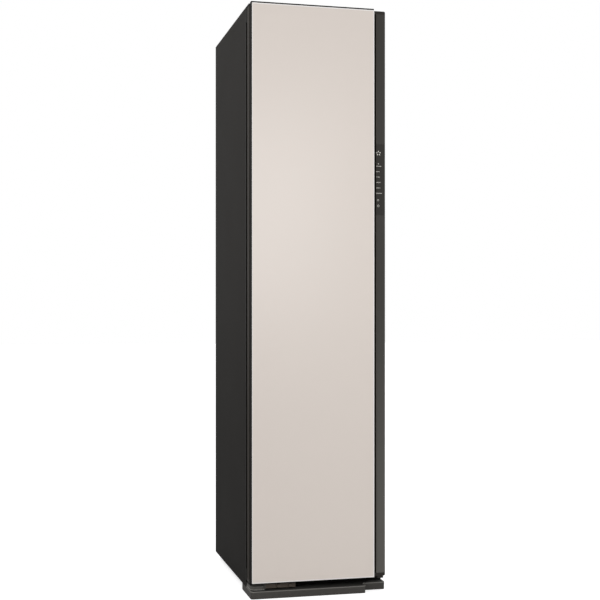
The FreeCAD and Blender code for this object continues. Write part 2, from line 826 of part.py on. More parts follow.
def door_glass():
    """Back-painted pane with a narrow polished bevel round its face."""
    x = (-half + glass_side_reveal, x_glass)
    z = (door_bottom + glass_bottom_reveal, height - glass_top_reveal)
    bevel_y = y_front + glass_bevel_depth
    rims = []
    for y, margin in ((bevel_y, 0.0), (y_front, glass_bevel)):
        corners = [Vector(u, y, v) for u, v in rectangle(inset(x, margin), inset(z, margin))]
        rims.append(Part.makePolygon(corners + corners[:1]))
    pane = block(x, (bevel_y, y_glass), z)
    return pane.fuse(Part.makeLoft(rims, True, True)).removeSplitter()


def glass_carrier():
    """Black tray that the glass is glued to, with cross ribs behind the glass."""
    x = (-half + carrier_reveal, x_glass)
    z = (door_bottom + carrier_reveal, height - carrier_reveal)
    tray = block(x, (y_glass, y_shell), z)
    rooms = []
    ribs = int((z[1] - z[0]) / carrier_rib_pitch)
    step = (z[1] - z[0] - wall) / ribs
    for i in range(ribs):
        low = z[0] + wall + i * step
        rooms.append(block(inset(x, wall), (y_glass, y_shell - thin_wall), (low, low + step - wall)))
    return tray.cut(rooms + [hinge_notch()])


def door_shell():
    """Steel pan of the door: front return, left side and back in one folded sheet."""
    path = [(half - strip_wall, y_door), (-half, y_door), (-half, y_shell), (-half + fold, y_shell)]
    return folded(path, sheet, "plan", pan_z)


def grip_channel():
    """Channel of the finger groove: its side behind the glass edge and its floor."""
    path = [(x_groove, y_shell), (x_groove, y_groove), (x_strip, y_groove)]
    return folded(path, thin_wall, "plan", pan_z)


def handle_strip():
    """Folded metal strip along the door's free side, with a bed for the window."""
    path = [(x_strip, y_groove + thin_wall), (x_strip, y_strip), (half, y_strip), (half, y_door)]
    strip = folded(path, strip_wall, "plan", pan_z, strip_round - strip_wall)
    return strip.cut(control_window())


def control_window():
    """Flush touch window in the strip."""
    x = (x_strip + window_margin, half - strip_round)
    return block(x, (y_strip, y_strip + window_thick), (window_bottom, window_bottom + window_height))


def door_end_cap(z, boss_z, bore):
    """Plastic cap on one end of the door, with the boss of a hinge bushing."""
    cap = prism(door_section(), "plan", z, [0, 0, 0, 0, strip_round, 0])
    cap = cap.fuse(rod(boss_radius, pin_place(boss_z[0]), boss_z[1] - boss_z[0]))
    return cap.cut(rod(bushing_radius, pin_place(bore[0]), bore[1] - bore[0]))


def rounded_end(z_end, z_inner):
    """What the rounding takes off a cap at the door's free side."""
    way = 1 if z_end > z_inner else -1
    corner = Vector(half, 0, z_end)
    start, middle, end = corner_arc(corner - UP * way, corner, corner - RIGHT, cap_corner)
    profile = Part.Wire([Part.Arc(start, middle, end).toShape(), Part.makeLine(end, corner),
                         Part.makeLine(corner, start)])
    spandrel = Part.Face(profile).extrude(BACK * (y_door - y_strip))
    spandrel.translate(BACK * y_strip)
    return spandrel


def door_end_caps():
    """Lower cap with a stop below the strip, and upper cap with a notch for the hinge arm."""
    low_boss = (cap_low[1], door_bottom + bushing_length)
    low = door_end_cap(cap_low, low_boss, (door_bottom, low_boss[1]))
    stop_x = (half - stop_inset - stop_width, half - stop_inset)
    stop_y = (y_strip + stop_inset, y_strip + stop_inset + stop_depth)
    stop = prism(rectangle(stop_x, stop_y), "plan", (door_bottom - stop_height, door_bottom), stop_inset)
    low = low.fuse(stop).cut(rounded_end(*cap_low))
    high_boss = (z_notch - bushing_length, cap_high[0])
    high = door_end_cap(cap_high, high_boss, (high_boss[0], height))
    high = high.cut([hinge_notch(), rounded_end(cap_high[1], cap_high[0])])
    return Part.makeCompound([low.removeSplitter(), high.removeSplitter()])


def hinge_bushings():
    """Plain bushings that turn on the two pins; the lower one also carries the door."""
    flange = (z_lower_arm + play, door_bottom)
    low = rod(bushing_radius, pin_place(door_bottom), bushing_length)
    low = low.fuse(rod(bushing_radius + bushing_flange, pin_place(flange[0]), flange[1] - flange[0]))
    low = low.cut(rod(pin_radius + fit, pin_place(flange[0]), bushing_length + flange[1] - flange[0]))
    high = tube(bushing_radius, pin_radius + fit, pin_place(z_notch - bushing_length), bushing_length)
    return Part.makeCompound([low.removeSplitter(), high])


def door_liner():
    """Moulded inner panel of the door with a raised field inside the gasket."""
    x = inset((-half, half), liner_border)
    z = inset((door_bottom, z_notch), liner_border)
    panel = block(x, (y_door, y_door + wall), z)
    field_x = inset((-x_in, x_in), liner_border)
    field_z = (gasket_z[0] + gasket_width + liner_border, gasket_z[1] - gasket_width - liner_border)
    form = prism(rectangle(field_x, field_z), "front", (y_door, y_door + wall + liner_raise), liner_round)
    hollow = prism(rectangle(inset(field_x, wall), inset(field_z, wall)), "front",
                   (y_door, y_door + liner_raise), liner_round - wall)
    return pressed(panel, form, hollow)


def gasket_ring(y, margin, breadth):
    """One layer of the gasket, with the square corners of a welded mitre."""
    outer = block(inset(gasket_x, margin), y, inset(gasket_z, margin))
    return outer.cut(block(inset(gasket_x, margin + breadth), y, inset(gasket_z, margin + breadth)))


def door_gasket():
    """Soft gasket: a foot on the door, a narrow bellows and a flat magnetic lip."""
    y = (y_door + wall, y_frame - play)
    side = (gasket_width - gasket_waist) / 2
    foot = gasket_ring((y[0], y[0] + gasket_foot), 0, gasket_width)
    waist = gasket_ring((y[0] + gasket_foot, y[1] - gasket_foot), side, gasket_waist)
    lip = gasket_ring((y[1] - gasket_foot, y[1]), 0, gasket_width)
    return foot.fuse([waist, lip]).removeSplitter()


# ================================================================ chamber
def chamber_side():
    """Left chamber wall with a shelf ledge and shallow upright beads."""
    x = (-x_in - wall, -x_in)
    z = (chamber_floor - wall, z_ceiling + wall)
    panel = block(x, (y_panel, y_in + wall), z)
    ledge = [(-x_in, shelf_height), (-x_in + ledge_width, shelf_height),
             (-x_in + ledge_width, shelf_height - ledge_thick),
             (-x_in, shelf_height - ledge_thick - ledge_width)]
    beads = []
    for y in bays(y_panel, y_in, bead_count):
        bead = [(-x_in, y - bead_width / 2), (-x_in + bead_raise, y - bead_width / 4),
                (-x_in + bead_raise, y + bead_width / 4), (-x_in, y + bead_width / 2)]
        beads.append(prism(bead, "plan", bead_z))
    return panel.fuse([prism(ledge, "front", shelf_y)] + beads).removeSplitter()


def chamber_back():
    """Rear chamber wall with upright beads."""
    x = (-x_in, x_in)
    panel = block(x, (y_in, y_in + wall), (chamber_floor - wall, z_ceiling + wall))
    beads = []
    for middle in bays(*x, bead_count):
        bead = [(middle - bead_width / 2, y_in), (middle - bead_width / 4, y_in - bead_raise),
                (middle + bead_width / 4, y_in - bead_raise), (middle + bead_width / 2, y_in)]
        beads.append(prism(bead, "plan", bead_z))
    return panel.fuse(beads).removeSplitter()


def filter_room(gap):
    """Pocket of the lint filter and of the scent case, with a gap all round."""
    y = around(filter_y, filter_width + 2 * gap)
    z = (chamber_floor - wall, chamber_floor)
    long_room = block(around(0, filter_length + 2 * gap), y, z)
    y = around(filter_y, scent_size + 2 * gap)
    return [long_room, block(around(scent_place, scent_size + 2 * gap), y, z)]


def chamber_floor_panel():
    """Chamber floor with the filter pockets, the return grille and the steam outlet's hole."""
    x, y = (-x_in, x_in), (y_panel, y_in)
    z = (chamber_floor - wall, chamber_floor)
    panel = block(x, y, z)
    grille_y = (evaporator_y[0], evaporator_y[0] + grille_length)
    slots = [block(around(middle, grille_slot_width), grille_y, z)
             for middle in bays(-x_in + grille_margin, -grille_inner, grille_slots)]
    hole = rod(steam_pipe_radius, (steam_x, steam_y, z[0]), wall)
    return panel.cut(slots + filter_room(2 * play) + [hole])


def chamber_ceiling():
    """Ceiling with an outlet over each hanger and jet slots between the hangers."""
    z = (z_ceiling, z_ceiling + wall)
    panel = block((-x_in, x_in), (y_panel, y_in), z)
    holes = [rod(outlet_radius, (x, hanger_y, z_ceiling), wall) for x in hangers_x]
    for x in [hanger_pitch * (i - 0.5) for i in range(hanger_count - 1)]:
        for y in bays(*inset(plenum_y, jet_margin), jet_slots // 2):
            holes.append(block(around(x, jet_slot_width), around(y, jet_slot_length), z))
    return panel.cut(holes)


def steam_outlet():
    """Low dome over the steam pipe, with slots round its side and a spigot below."""
    place = (steam_x, steam_y, chamber_floor)
    dome = revolved([(steam_pipe_radius - wall, 0), (steam_radius, 0), (steam_radius, steam_rise / 2),
                     (steam_radius - steam_shoulder, steam_rise), (0, steam_rise),
                     (0, steam_rise - wall), (steam_pipe_radius - wall, steam_rise - wall)],
                    place)
    slot = block((steam_slot_start, 2 * steam_radius), around(0, steam_slot_width), steam_slot_z)
    slots = [slot.copy().rotate(Vector(), UP, 360 * i / steam_slots) for i in range(steam_slots)]
    for slot in slots:
        slot.translate(Vector(*place))
    dome = dome.cut(slots)
    spigot = tube(steam_pipe_radius, steam_pipe_radius - wall,
                  (steam_x, steam_y, chamber_floor - steam_spigot), steam_spigot)
    return dome.fuse(spigot).removeSplitter()


def interior_lamp():
    """Light bar under the front of the ceiling."""
    y = (y_panel + lamp_setback, y_panel + lamp_setback + lamp_depth)
    z = (z_ceiling - lamp_thick, z_ceiling)
    return prism(rectangle(around(0, lamp_width), y), "plan", z, lamp_round)


# ================================================================ shelf, hangers and filters
def shelf():
    """Lift-out slatted shelf that rests on the two ledges."""
    x = inset((-x_in, x_in), shelf_side_gap)
    low = shelf_height + play
    rim = prism(rectangle(x, shelf_y), "plan", (low, low + shelf_thick), shelf_round)
    rim = rim.cut(prism(rectangle(inset(x, shelf_rim), inset(shelf_y, shelf_rim)), "plan",
                        (low, low + shelf_thick), shelf_inner_round))
    slat_z = (low + 2, low + 2 + shelf_slat_thick)
    slats = [block(around(middle, shelf_slat_width), inset(shelf_y, shelf_rim - 1), slat_z)
             for middle in bays(x[0] + shelf_rim, x[1] - shelf_rim, shelf_slats)]
    bars = [block(inset(x, shelf_rim - 1), around(middle, shelf_slat_width), (low, slat_z[0] + 1))
            for middle in bays(*shelf_y, shelf_bar_count)]
    return rim.fuse(slats + bars).removeSplitter()


def hanger_dock(x):
    """Rail under the ceiling that a hanger's head slides into, with an air spout above."""
    y = (hanger_y - dock_front, hanger_y + head_half_length + play + dock_rim)
    z_top = z_ceiling
    z_slot = (z_top - dock_top - dock_slot_height, z_top - dock_top)
    body = block(around(x, 2 * dock_half_width), y, (z_slot[0] - dock_lip, z_top))
    slot = block(around(x, 2 * dock_slot_half), (y[0], y[1] - dock_rim), z_slot)
    gap = block(around(x, 2 * dock_gap_half), (y[0], y[1] - dock_rim), (z_slot[0] - dock_lip, z_slot[0]))
    spout = rod(outlet_radius, (x, hanger_y, z_top - dock_top), dock_top + outlet_height)
    bore = rod(outlet_radius - wall, (x, hanger_y, z_top - dock_top), dock_top + outlet_height)
    return body.fuse(spout).cut([slot, gap, bore]).removeSplitter()


def hanger_form(thinner):
    """Body of the hanger: its shoulder line from the side crossed with its taper in plan."""
    tall, end = hanger_body_height / 2, hanger_end_height / 2
    side = [(-hanger_reach, -hanger_drop - end), (-hanger_reach, -hanger_drop + end), (0, tall),
            (hanger_reach, -hanger_drop + end), (hanger_reach, -hanger_drop - end), (0, -tall)]
    broad, narrow = hanger_body_width / 2, hanger_end_width / 2
    plan = [(-narrow, -hanger_reach), (-broad, 0), (-narrow, hanger_reach),
            (narrow, hanger_reach), (broad, 0), (narrow, -hanger_reach)]
    side = beside(side, -thinner, True)
    plan = beside(plan, -thinner, True)
    across = (-hanger_body_width, hanger_body_width)
    upright = (-hanger_drop - hanger_body_height, hanger_body_height)
    ends = [hanger_end_round] * 2
    side = prism(side, "side", across, ends + [hanger_crown_round] + ends + [hanger_belly_round])
    plan = prism(plan, "plan", upright, [0, hanger_waist_round, 0] * 2)
    return side.common(plan)


def air_hanger(x):
    """Hollow hanger that blows air into the shoulders: body, neck and sliding head."""
    body, hollow = hanger_form(0.0), hanger_form(hanger_wall)
    for form in (body, hollow):
        form.translate(Vector(0, 0, -hanger_body_drop))
    z_head = -dock_top - dock_slot_height + play
    neck_low = -hanger_body_drop
    neck = rod(hanger_neck_radius, (0, 0, neck_low), z_head - neck_low)
    head = block(around(0, 2 * dock_slot_half - 1), around(0, 2 * head_half_length),
                 (z_head, z_head + head_thick))
    bore = rod(hanger_neck_radius - hanger_wall, (0, 0, neck_low), head_thick + z_head - neck_low)
    jets = []
    for side in (-1, 1):
        for share in hanger_jets:
            y = side * share * hanger_reach
            middle = -hanger_body_drop - hanger_drop * share
            jets.append(block(around(0, hanger_jet_width), around(y, hanger_jet_length),
                              (middle - hanger_body_height, middle)))
    shape = body.fuse([neck, head]).cut([hollow, bore] + jets)
    shape.translate(Vector(x, hanger_y, z_ceiling))
    return shape


def lint_filter():
    """Drawer of the lint filter: sieve basket under a rim with a pull tab."""
    x, y = around(0, filter_length), around(filter_y, filter_width)
    rim_z = (chamber_floor + play, chamber_floor + play + filter_flange_thick)
    basket = block(x, y, (chamber_floor - filter_depth, rim_z[1]))
    rim = prism(rectangle(inset(x, -filter_flange), inset(y, -filter_flange)), "plan", rim_z, rim_round)
    room = block(inset(x, thin_wall), inset(y, thin_wall), (chamber_floor - filter_depth + thin_wall,
                                                           rim_z[1]))
    window_z = (chamber_floor - filter_depth + filter_window_margin, chamber_floor - filter_window_drop)
    windows = [block(around(middle, filter_window_width), y, window_z)
               for middle in bays(*inset(x, filter_window_margin), filter_windows)]
    tab = prism([(-filter_tab_foot, 0), (-filter_tab_head, filter_grip), (filter_tab_head, filter_grip),
                 (filter_tab_foot, 0)], "front",
                around(0, thin_wall), [0, filter_tab_round, filter_tab_round, 0])
    tab.translate(Vector(0, filter_y, rim_z[0]))
    bridge = block(around(0, filter_bridge), y, rim_z)
    return basket.fuse(rim).cut([room] + windows).fuse([bridge, tab]).removeSplitter()


def scent_case():
    """Small case for a scent sheet, with slots in its lid."""
    x, y = around(scent_place, scent_size), around(filter_y, scent_size)
    low = chamber_floor - scent_depth
    lid_z = (chamber_floor + play, chamber_floor + play + filter_flange_thick)
    case = block(x, y, (low, lid_z[1]))
    lid = prism(rectangle(inset(x, -scent_flange), inset(y, -scent_flange)), "plan", lid_z, rim_round)
    room = block(inset(x, thin_wall), inset(y, thin_wall), (low + thin_wall, lid_z[0]))
    slots = [block(inset(x, scent_slot_margin), around(middle, scent_slot_width), lid_z)
             for middle in bays(*y, scent_slots)]
    return case.fuse(lid).cut([room] + slots).removeSplitter()


# ================================================================ tanks
def tank_bay():
    """Moulded bay for the two tanks: floor, roof, sides, back and divider, on two skirts."""
    x = (-x_in - wall, x_in + wall)
    shell = block(x, bay_y, (bay_floor, bay_roof))
    rooms = [block(span, (bay_y[0], bay_y[1] - wall), inset((bay_floor, bay_roof), wall))
             for span in ((-x_in, -bay_divider / 2), (bay_divider / 2, x_in))]
    skirts = [block(span, inset(bay_y, 2 * foot_boss_radius + foot_front), (base_top, bay_floor))
              for span in ((x[0], x[0] + wall), (x[1] - wall, x[1]))]
    return shell.cut(rooms).fuse(skirts).removeSplitter()


def tank_range(side):
    """Width range of a tank, left or right of the divider."""
    span = (bay_divider / 2 + tank_side_gap, x_in - tank_side_gap)
    return span if side > 0 else (-span[1], -span[0])


def mouth_axis(side):
    """Middle of a tank's mouth: plan place and height of its rim."""
    x = sum(tank_range(side)) / 2
    return x, tank_y[0] + mouth_place, tank_z + tank_height + mouth_height


def cap_axis(side):
    """Middle of the hinge pin of a tank's cap."""
    x, y, z = mouth_axis(side)
    return x, y + mouth_radius + cap_overhang + cap_barrel_radius, z + cap_barrel_radius - 1


def tank(side):
    """Blow-moulded tank with a finger grip in its front and ears for the cap's pin."""
    x, top = tank_range(side), tank_z + tank_height
    outer = prism(rectangle(x, tank_y), "plan", (tank_z, top), tank_round)
    room = prism(rectangle(inset(x, tank_wall), inset(tank_y, tank_wall)), "plan",
                 (tank_z + tank_wall, top - tank_wall), tank_round - tank_wall)
    grip_x = around(sum(x) / 2, tank_grip_width)
    grip_z = (top - tank_grip_drop - tank_grip_height, top - tank_grip_drop)
    grip_y = (tank_y[0], tank_y[0] + tank_grip_depth)
    pocket = prism(rectangle(grip_x, grip_z), "front", grip_y, tank_grip_round)
    pocket_wall = block(inset(grip_x, -tank_wall), (tank_y[0], grip_y[1] + tank_wall),
                        inset(grip_z, -tank_wall))
    mouth_x, mouth_y, rim = mouth_axis(side)
    neck = rod(mouth_radius, (mouth_x, mouth_y, top - tank_wall), rim - top + tank_wall)
    bore = rod(mouth_radius - tank_wall, (mouth_x, mouth_y, top - tank_wall), rim - top + tank_wall)
    pin_at = cap_axis(side)
    ears = []
    for way in (-1, 1):
        middle = pin_at[0] + way * (cap_barrel_length / 2 + play + cap_ear / 2)
        ears.append(block(around(middle, cap_ear), around(pin_at[1], 2 * cap_barrel_radius),
                          (top - tank_wall, pin_at[2] + cap_barrel_radius)))
    pin_hole = rod(cap_pin_radius + fit, (pin_at[0] - cap_barrel_length, *pin_at[1:]),
                   2 * cap_barrel_length, RIGHT)
    shell = outer.cut(room.cut(pocket_wall)).cut(pocket)
    return shell.fuse([neck] + ears).cut([bore, pin_hole]).removeSplitter()


def tank_cap(side):
    """Flip cap with a plug in the mouth and a hinge barrel with pin ends behind it."""
    x, y, rim = mouth_axis(side)
    plate = rod(mouth_radius + cap_overhang, (x, y, rim + play), cap_thick)
    plug_radius = mouth_radius - tank_wall - 3 * play
    plug = tube(plug_radius, plug_radius - tank_wall, (x, y, rim + play - cap_plug), cap_plug)
    pin_at = cap_axis(side)
    barrel = rod(cap_barrel_radius, (x - cap_barrel_length / 2, *pin_at[1:]), cap_barrel_length, RIGHT)
    pin_length_all = cap_barrel_length + 2 * (play + cap_ear)
    pin = rod(cap_pin_radius, (x - pin_length_all / 2, *pin_at[1:]), pin_length_all, RIGHT)
    cap_z = (rim + play, rim + play + cap_thick)
    tongue = block(around(x, cap_barrel_length), (y + mouth_radius - cap_tongue_lap, pin_at[1]), cap_z)
    lift = prism([(-cap_lift_foot, 0), (cap_lift_foot, 0), (cap_lift_tip, -cap_lift_reach),
                  (-cap_lift_tip, -cap_lift_reach)], "plan", cap_z)
    lift.translate(Vector(x, y - mouth_radius - cap_overhang + 1, 0))
    return plate.fuse([plug, tongue, barrel, pin, lift]).removeSplitter()


# ================================================================ air duct and jet blower
def rear_duct():
    """Flanged channel behind the chamber that carries the warm air up to the blower."""
    x, y = inset(coil_x, duct_inset), (y_in + wall, y_rear - duct_clearance)
    path = [(x[0] - fold, y[0]), (x[0], y[0]), (x[0], y[1]), (x[1], y[1]), (x[1], y[0]),
            (x[1] + fold, y[0])]
    return folded(path, thin_wall, "plan", (duct_bottom, height - duct_top_drop))


def air_plenum():
    """Shallow box over the ceiling that spreads the blown air to the outlets."""
    x = (-plenum_half_width, plenum_half_width)
    box = prism(rectangle(x, plenum_y), "plan", plenum_z, plenum_round)
    room = prism(rectangle(inset(x, thin_wall), inset(plenum_y, thin_wall)), "plan",
                 (plenum_z[0], plenum_z[1] - thin_wall), plenum_inner_round)
    inlet = block(inset(throat_x, thin_wall), inset(throat_y, thin_wall), plenum_z)
    return box.cut([room, inlet])


def scroll_outline(offset):
    """Plan outline of the scroll: four arcs that grow round the axis, closed by a straight."""
    growth = math.log(scroll_end / scroll_start) / (2 * math.pi)

    def at(quarters):
        turn = quarters * math.pi / 2
        radius = scroll_start * math.exp(growth * turn) + offset
        return Vector(radius * math.cos(turn), scroll_y - radius * math.sin(turn), 0)

    arcs = [Part.Arc(at(i), at(i + 0.5), at(i + 1)).toShape() for i in range(4)]
    return Part.Face(Part.Wire(arcs + [Part.LineSegment(at(4), at(0)).toShape()]))


def blower_housing():
    """Scroll case of the jet blower, with its eye above and its mouth down into the plenum."""
    duct = ((scroll_start - thin_wall, scroll_end + thin_wall), (throat_y[0] - thin_wall, scroll_y))
    room_z = inset(scroll_z, thin_wall)
    outside = scroll_outline(thin_wall).extrude(UP * scroll_height)
    outside.translate(UP * scroll_z[0])
    outside = outside.fuse(block(*duct, scroll_z))
    inside = scroll_outline(0.0).extrude(UP * (room_z[1] - room_z[0]))
    inside.translate(UP * room_z[0])
    channel = block(throat_x, (throat_y[0], scroll_y), room_z)
    eye = rod(eye_radius, (0, scroll_y, room_z[1]), thin_wall)
    mouth = block(inset(throat_x, thin_wall), inset(throat_y, thin_wall), (scroll_z[0], room_z[0]))
    return outside.cut(inside.fuse(channel)).cut([eye, mouth])


def curved_blade(inner, outer, sweep, thick, z):
    """Blade that falls back from its root to its tip along an arc."""
    def at(radius, angle):
        return Vector(radius * math.cos(angle), radius * math.sin(angle), z[0])
    back = math.radians(sweep)
    edge = [(at(inner, 0), at((inner + outer) / 2, -0.35 * back), at(outer, -back)),
            (at(outer, -back - thick / outer), at((inner + outer) / 2, -0.35 * back - 2 * thick /
             (inner + outer)), at(inner, -thick / inner))]
    first, second = [Part.Arc(*points).toShape() for points in edge]
    tip = Part.LineSegment(edge[0][2], edge[1][0]).toShape()
    root = Part.LineSegment(edge[1][2], edge[0][0]).toShape()
    return Part.Face(Part.Wire([first, tip, second, root])).extrude(UP * (z[1] - z[0]))


def jet_impeller():
    """Impeller with swept-back blades between a back plate and a shroud ring."""
    plate = rod(impeller_radius, (0, 0, impeller_z[0]), impeller_plate)
    hub = rod(impeller_hub_radius, (0, 0, impeller_z[0]), impeller_height * impeller_hub_share)
    shroud = tube(impeller_radius, blade_inner_radius + shroud_lip, (0, 0, impeller_z[1] - impeller_plate),
                  impeller_plate)
    blade_z = inset(impeller_z, impeller_plate / 2)
    blade = curved_blade(blade_inner_radius, impeller_radius - 1, blade_sweep, blade_thick, blade_z)
    blades = []
    for i in range(blade_count):
        turned = blade.copy()
        turned.rotate(Vector(), UP, 360 * i / blade_count)
        blades.append(turned)
    wheel = plate.fuse([hub, shroud] + blades)
    wheel = wheel.cut(rod(shaft_radius + fit, (0, 0, impeller_z[0]), impeller_height))
    wheel.translate(Vector(0, scroll_y, 0))
    return wheel.removeSplitter()


def blower_motor():
    """Motor over the eye, on three arms that stand on the scroll case, with its shaft."""
    low = scroll_z[1] + motor_gap
    centre = (0, scroll_y)
    neck = motor_radius - motor_neck
    can = revolved([(0, 0), (neck, 0), (neck, motor_step), (motor_radius, motor_step),
                    (motor_radius, motor_height - motor_step), (motor_radius - motor_step, motor_height),
                    (0, motor_height)], (*centre, low))
    arms = []
    arm_end = eye_radius + motor_arm_reach
    for i in range(motor_arms):
        arm = block((motor_radius - motor_step, arm_end), around(0, motor_arm), (motor_step, motor_arm_top))
        leg = block((eye_radius + motor_leg_start, arm_end), around(0, motor_arm),
                    (-motor_gap, motor_arm_top))
        arm = arm.fuse(leg)
        arm.rotate(Vector(), UP, 90 + 360 * i / motor_arms)
        arm.translate(Vector(*centre, low))
        arms.append(arm)
    shaft_low = impeller_z[0] - motor_shaft_reach
    shaft = rod(shaft_radius, (*centre, shaft_low), low + motor_shaft_lap - shaft_low)
    return can.fuse(arms + [shaft]).removeSplitter()


def electronics_box():
    """Closed box of the main board above the front of the ceiling, with cooling ribs."""
    x = around(0, box_width)
    y = (y_panel + box_front, y_panel + box_front + box_depth)
    z = (z_ceiling + wall, z_ceiling + wall + box_height)
    box = prism(rectangle(x, y), "plan", z, box_round)
    room = block(inset(x, thin_wall), inset(y, thin_wall), inset(z, thin_wall))
    ribs = [block(around(middle, box_rib_thick), inset(y, box_rib_margin), (z[1], z[1] + box_rib_height))
            for middle in bays(*inset(x, box_rib_start), box_ribs)]
    return box.cut(room).fuse(ribs)


# ================================================================ heat pump
def heat_pump_duct():
    """Trough round both coils, open above to the return grille, with the fan's ring behind."""
    z = (base_top, base_top + coil_housing_height)
    box = block(coil_x, coil_y, z)
    room = block(inset(coil_x, wall), (coil_y[0] + wall, coil_y[1]), (coil_z, z[1]))
    under = block(inset(coil_x, wall), inset(coil_y, wall), (z[0], coil_z - wall))
    screen = block(inset(coil_x, wall), fan_y, (coil_z, z[1]))
    ring = rod(fan_radius + fan_tip_gap, (coil_middle, fan_y[0], fan_z), fan_depth, BACK)
    back = block(coil_x, (fan_y[1], coil_y[1]), (coil_z, z[1]))
    return box.cut([room, under]).fuse(screen).cut([ring, back]).removeSplitter()


def finned_coil(y):
    """Block of fins between two end plates, with the tube bends standing out at the sides."""
    x = around(coil_middle, coil_width)
    z = (coil_z, coil_z + coil_height)
    plates = [block(span, y, z) for span in ((x[0], x[0] + coil_end_plate),
                                             (x[1] - coil_end_plate, x[1]))]
    plates += [block(x, y, (level, level + coil_end_plate))
               for level in (coil_z, coil_z + coil_height - coil_end_plate)]
    fins = [block(around(middle, fin_thick), inset(y, 1), z) for middle in bays(*x, fin_count)]
    bends = [return_bend(x, around(sum(y) / 2, 2 * coil_tube_radius), level)
             for level in bays(*z, coil_tube_rows // 2)]
    return plates[0].fuse(plates[1:] + fins + bends).removeSplitter()


def return_bend(x, y, level):
    """Hairpin bends at both ends of the coil that join one tube row to the next."""
    pitch = coil_height / coil_tube_rows
    loop = rectangle(inset(x, -bend_reach), around(level, pitch + 2 * coil_tube_radius))
    inner = rectangle(inset(x, 2 * coil_tube_radius - bend_reach),
                      around(level, pitch - 2 * coil_tube_radius))
    ring = prism(loop, "front", y, 2 * coil_tube_radius).cut(prism(inner, "front", y))
    return ring.cut(block(x, y, (0, height)))


def circulation_fan():
    """Axial fan between the condenser and the rear duct: hub and pitched blades."""
    hub = rod(fan_hub_radius, (0, fan_y[0] + fan_hub_inset, 0), fan_depth - 2 * fan_hub_inset, BACK)
    tip = fan_depth - fan_blade_taper
    blade = prism([(fan_hub_radius - fan_root, -tip / 4), (fan_radius, -tip / 2), (fan_radius, tip / 2),
                   (fan_hub_radius - fan_root, tip / 4)], "plan", around(0, fan_blade_thick))
    blade.rotate(Vector(), RIGHT, fan_pitch)
    blade.translate(Vector(0, sum(fan_y) / 2, 0))
    blades = []
    for i in range(fan_blades):
        turned = blade.copy()
        turned.rotate(Vector(), BACK, 360 * i / fan_blades)
        blades.append(turned)
    wheel = hub.fuse(blades).cut(rod(shaft_radius + fit, (0, fan_y[0], 0), fan_depth, BACK))
    wheel.translate(Vector(coil_middle, 0, fan_z))
    return wheel.removeSplitter()


def fan_motor():
    """Motor in front of the fan on a cross bar of the duct, with its shaft."""
    face = condenser_y[1] + fan_motor_gap
    back = fan_y[0] - fan_motor_gap
    can = rod(fan_motor_radius, (coil_middle, face, fan_z), back - face, BACK)
    bar = block(inset(coil_x, wall), (face + fan_bar_front, face + fan_bar_back),
                around(fan_z, fan_bar_height))
    shaft = rod(shaft_radius, (coil_middle, back, fan_z), fan_depth, BACK)
    return can.fuse([bar, shaft]).removeSplitter()


def compressor():
    """Hermetic compressor: domed shell with a weld belt, feet plate and terminal cover."""
    x, y = compressor_place
    low = base_top + compressor_lift + mount_plate
    belt, belt_top = compressor_radius + weld_raise, weld_height + weld_width
    shell = revolved([(0, 0), (compressor_radius, 0), (compressor_radius, weld_height),
                      (belt, weld_height), (belt, belt_top), (compressor_radius, belt_top),
                      (compressor_radius, compressor_height - compressor_dome),
                      (compressor_radius - compressor_dome, compressor_height),
                      (0, compressor_height)], (x, y, low))
    corners = [(x + (mount_circle + mount_spread) * math.cos(math.radians(angle)),
                y + (mount_circle + mount_spread) * math.sin(math.radians(angle)))
               for angle in mount_angles]
    plate = prism(corners, "plan", (low - mount_plate, low), mount_radius)
    side = x - compressor_radius
    cover = block((side - terminal_reach, side + terminal_reach), around(y, terminal_width),
                  (low + terminal_bottom, low + terminal_bottom + terminal_height))
    return shell.fuse([plate, cover]).removeSplitter()


def steam_generator():
    """Boiler on two legs with its heater terminals and a steam spout upwards."""
    x = (half - boiler_right, half - boiler_right + boiler_length)
    y = (bay_y[1] + boiler_front, bay_y[1] + boiler_front + boiler_depth)
    z = (base_top + boiler_leg, base_top + boiler_leg + boiler_height)
    tub = prism(rectangle(x, z), "front", y, boiler_round)
    lid = block(inset(x, -boiler_lid_rim), inset(y, -boiler_lid_rim),
                around(z[1] - boiler_lid_drop, boiler_lid_thick))
    legs = [block(around(place, boiler_leg_width), inset(y, boiler_leg_inset),
                  (base_top, z[0] + boiler_lap)) for place in inset(x, boiler_leg_place)]
    heater = [rod(heater_radius, (x[0] - heater_stand, place, z[0] + heater_rise),
                  heater_length, RIGHT) for place in inset(y, heater_place)]
    spout = rod(steam_pipe_radius - wall, (steam_x, sum(y) / 2, z[1] - boiler_lap),
                boiler_spout + boiler_lap)
    return tub.fuse([lid, spout] + legs + heater).removeSplitter()


def steam_hose():
    """Hose from the boiler's spout up to the outlet in the chamber floor."""
    y = bay_y[1] + boiler_front + boiler_depth / 2
    low = base_top + boiler_leg + boiler_height + boiler_spout
    high = chamber_floor - steam_spigot
    level = high - hose_drop
    route = [(steam_x, y, low), (steam_x, y, level), (steam_x, steam_y, level),
             (steam_x, steam_y, high)]
    return pipe(route, steam_pipe_radius - wall, hose_bend)


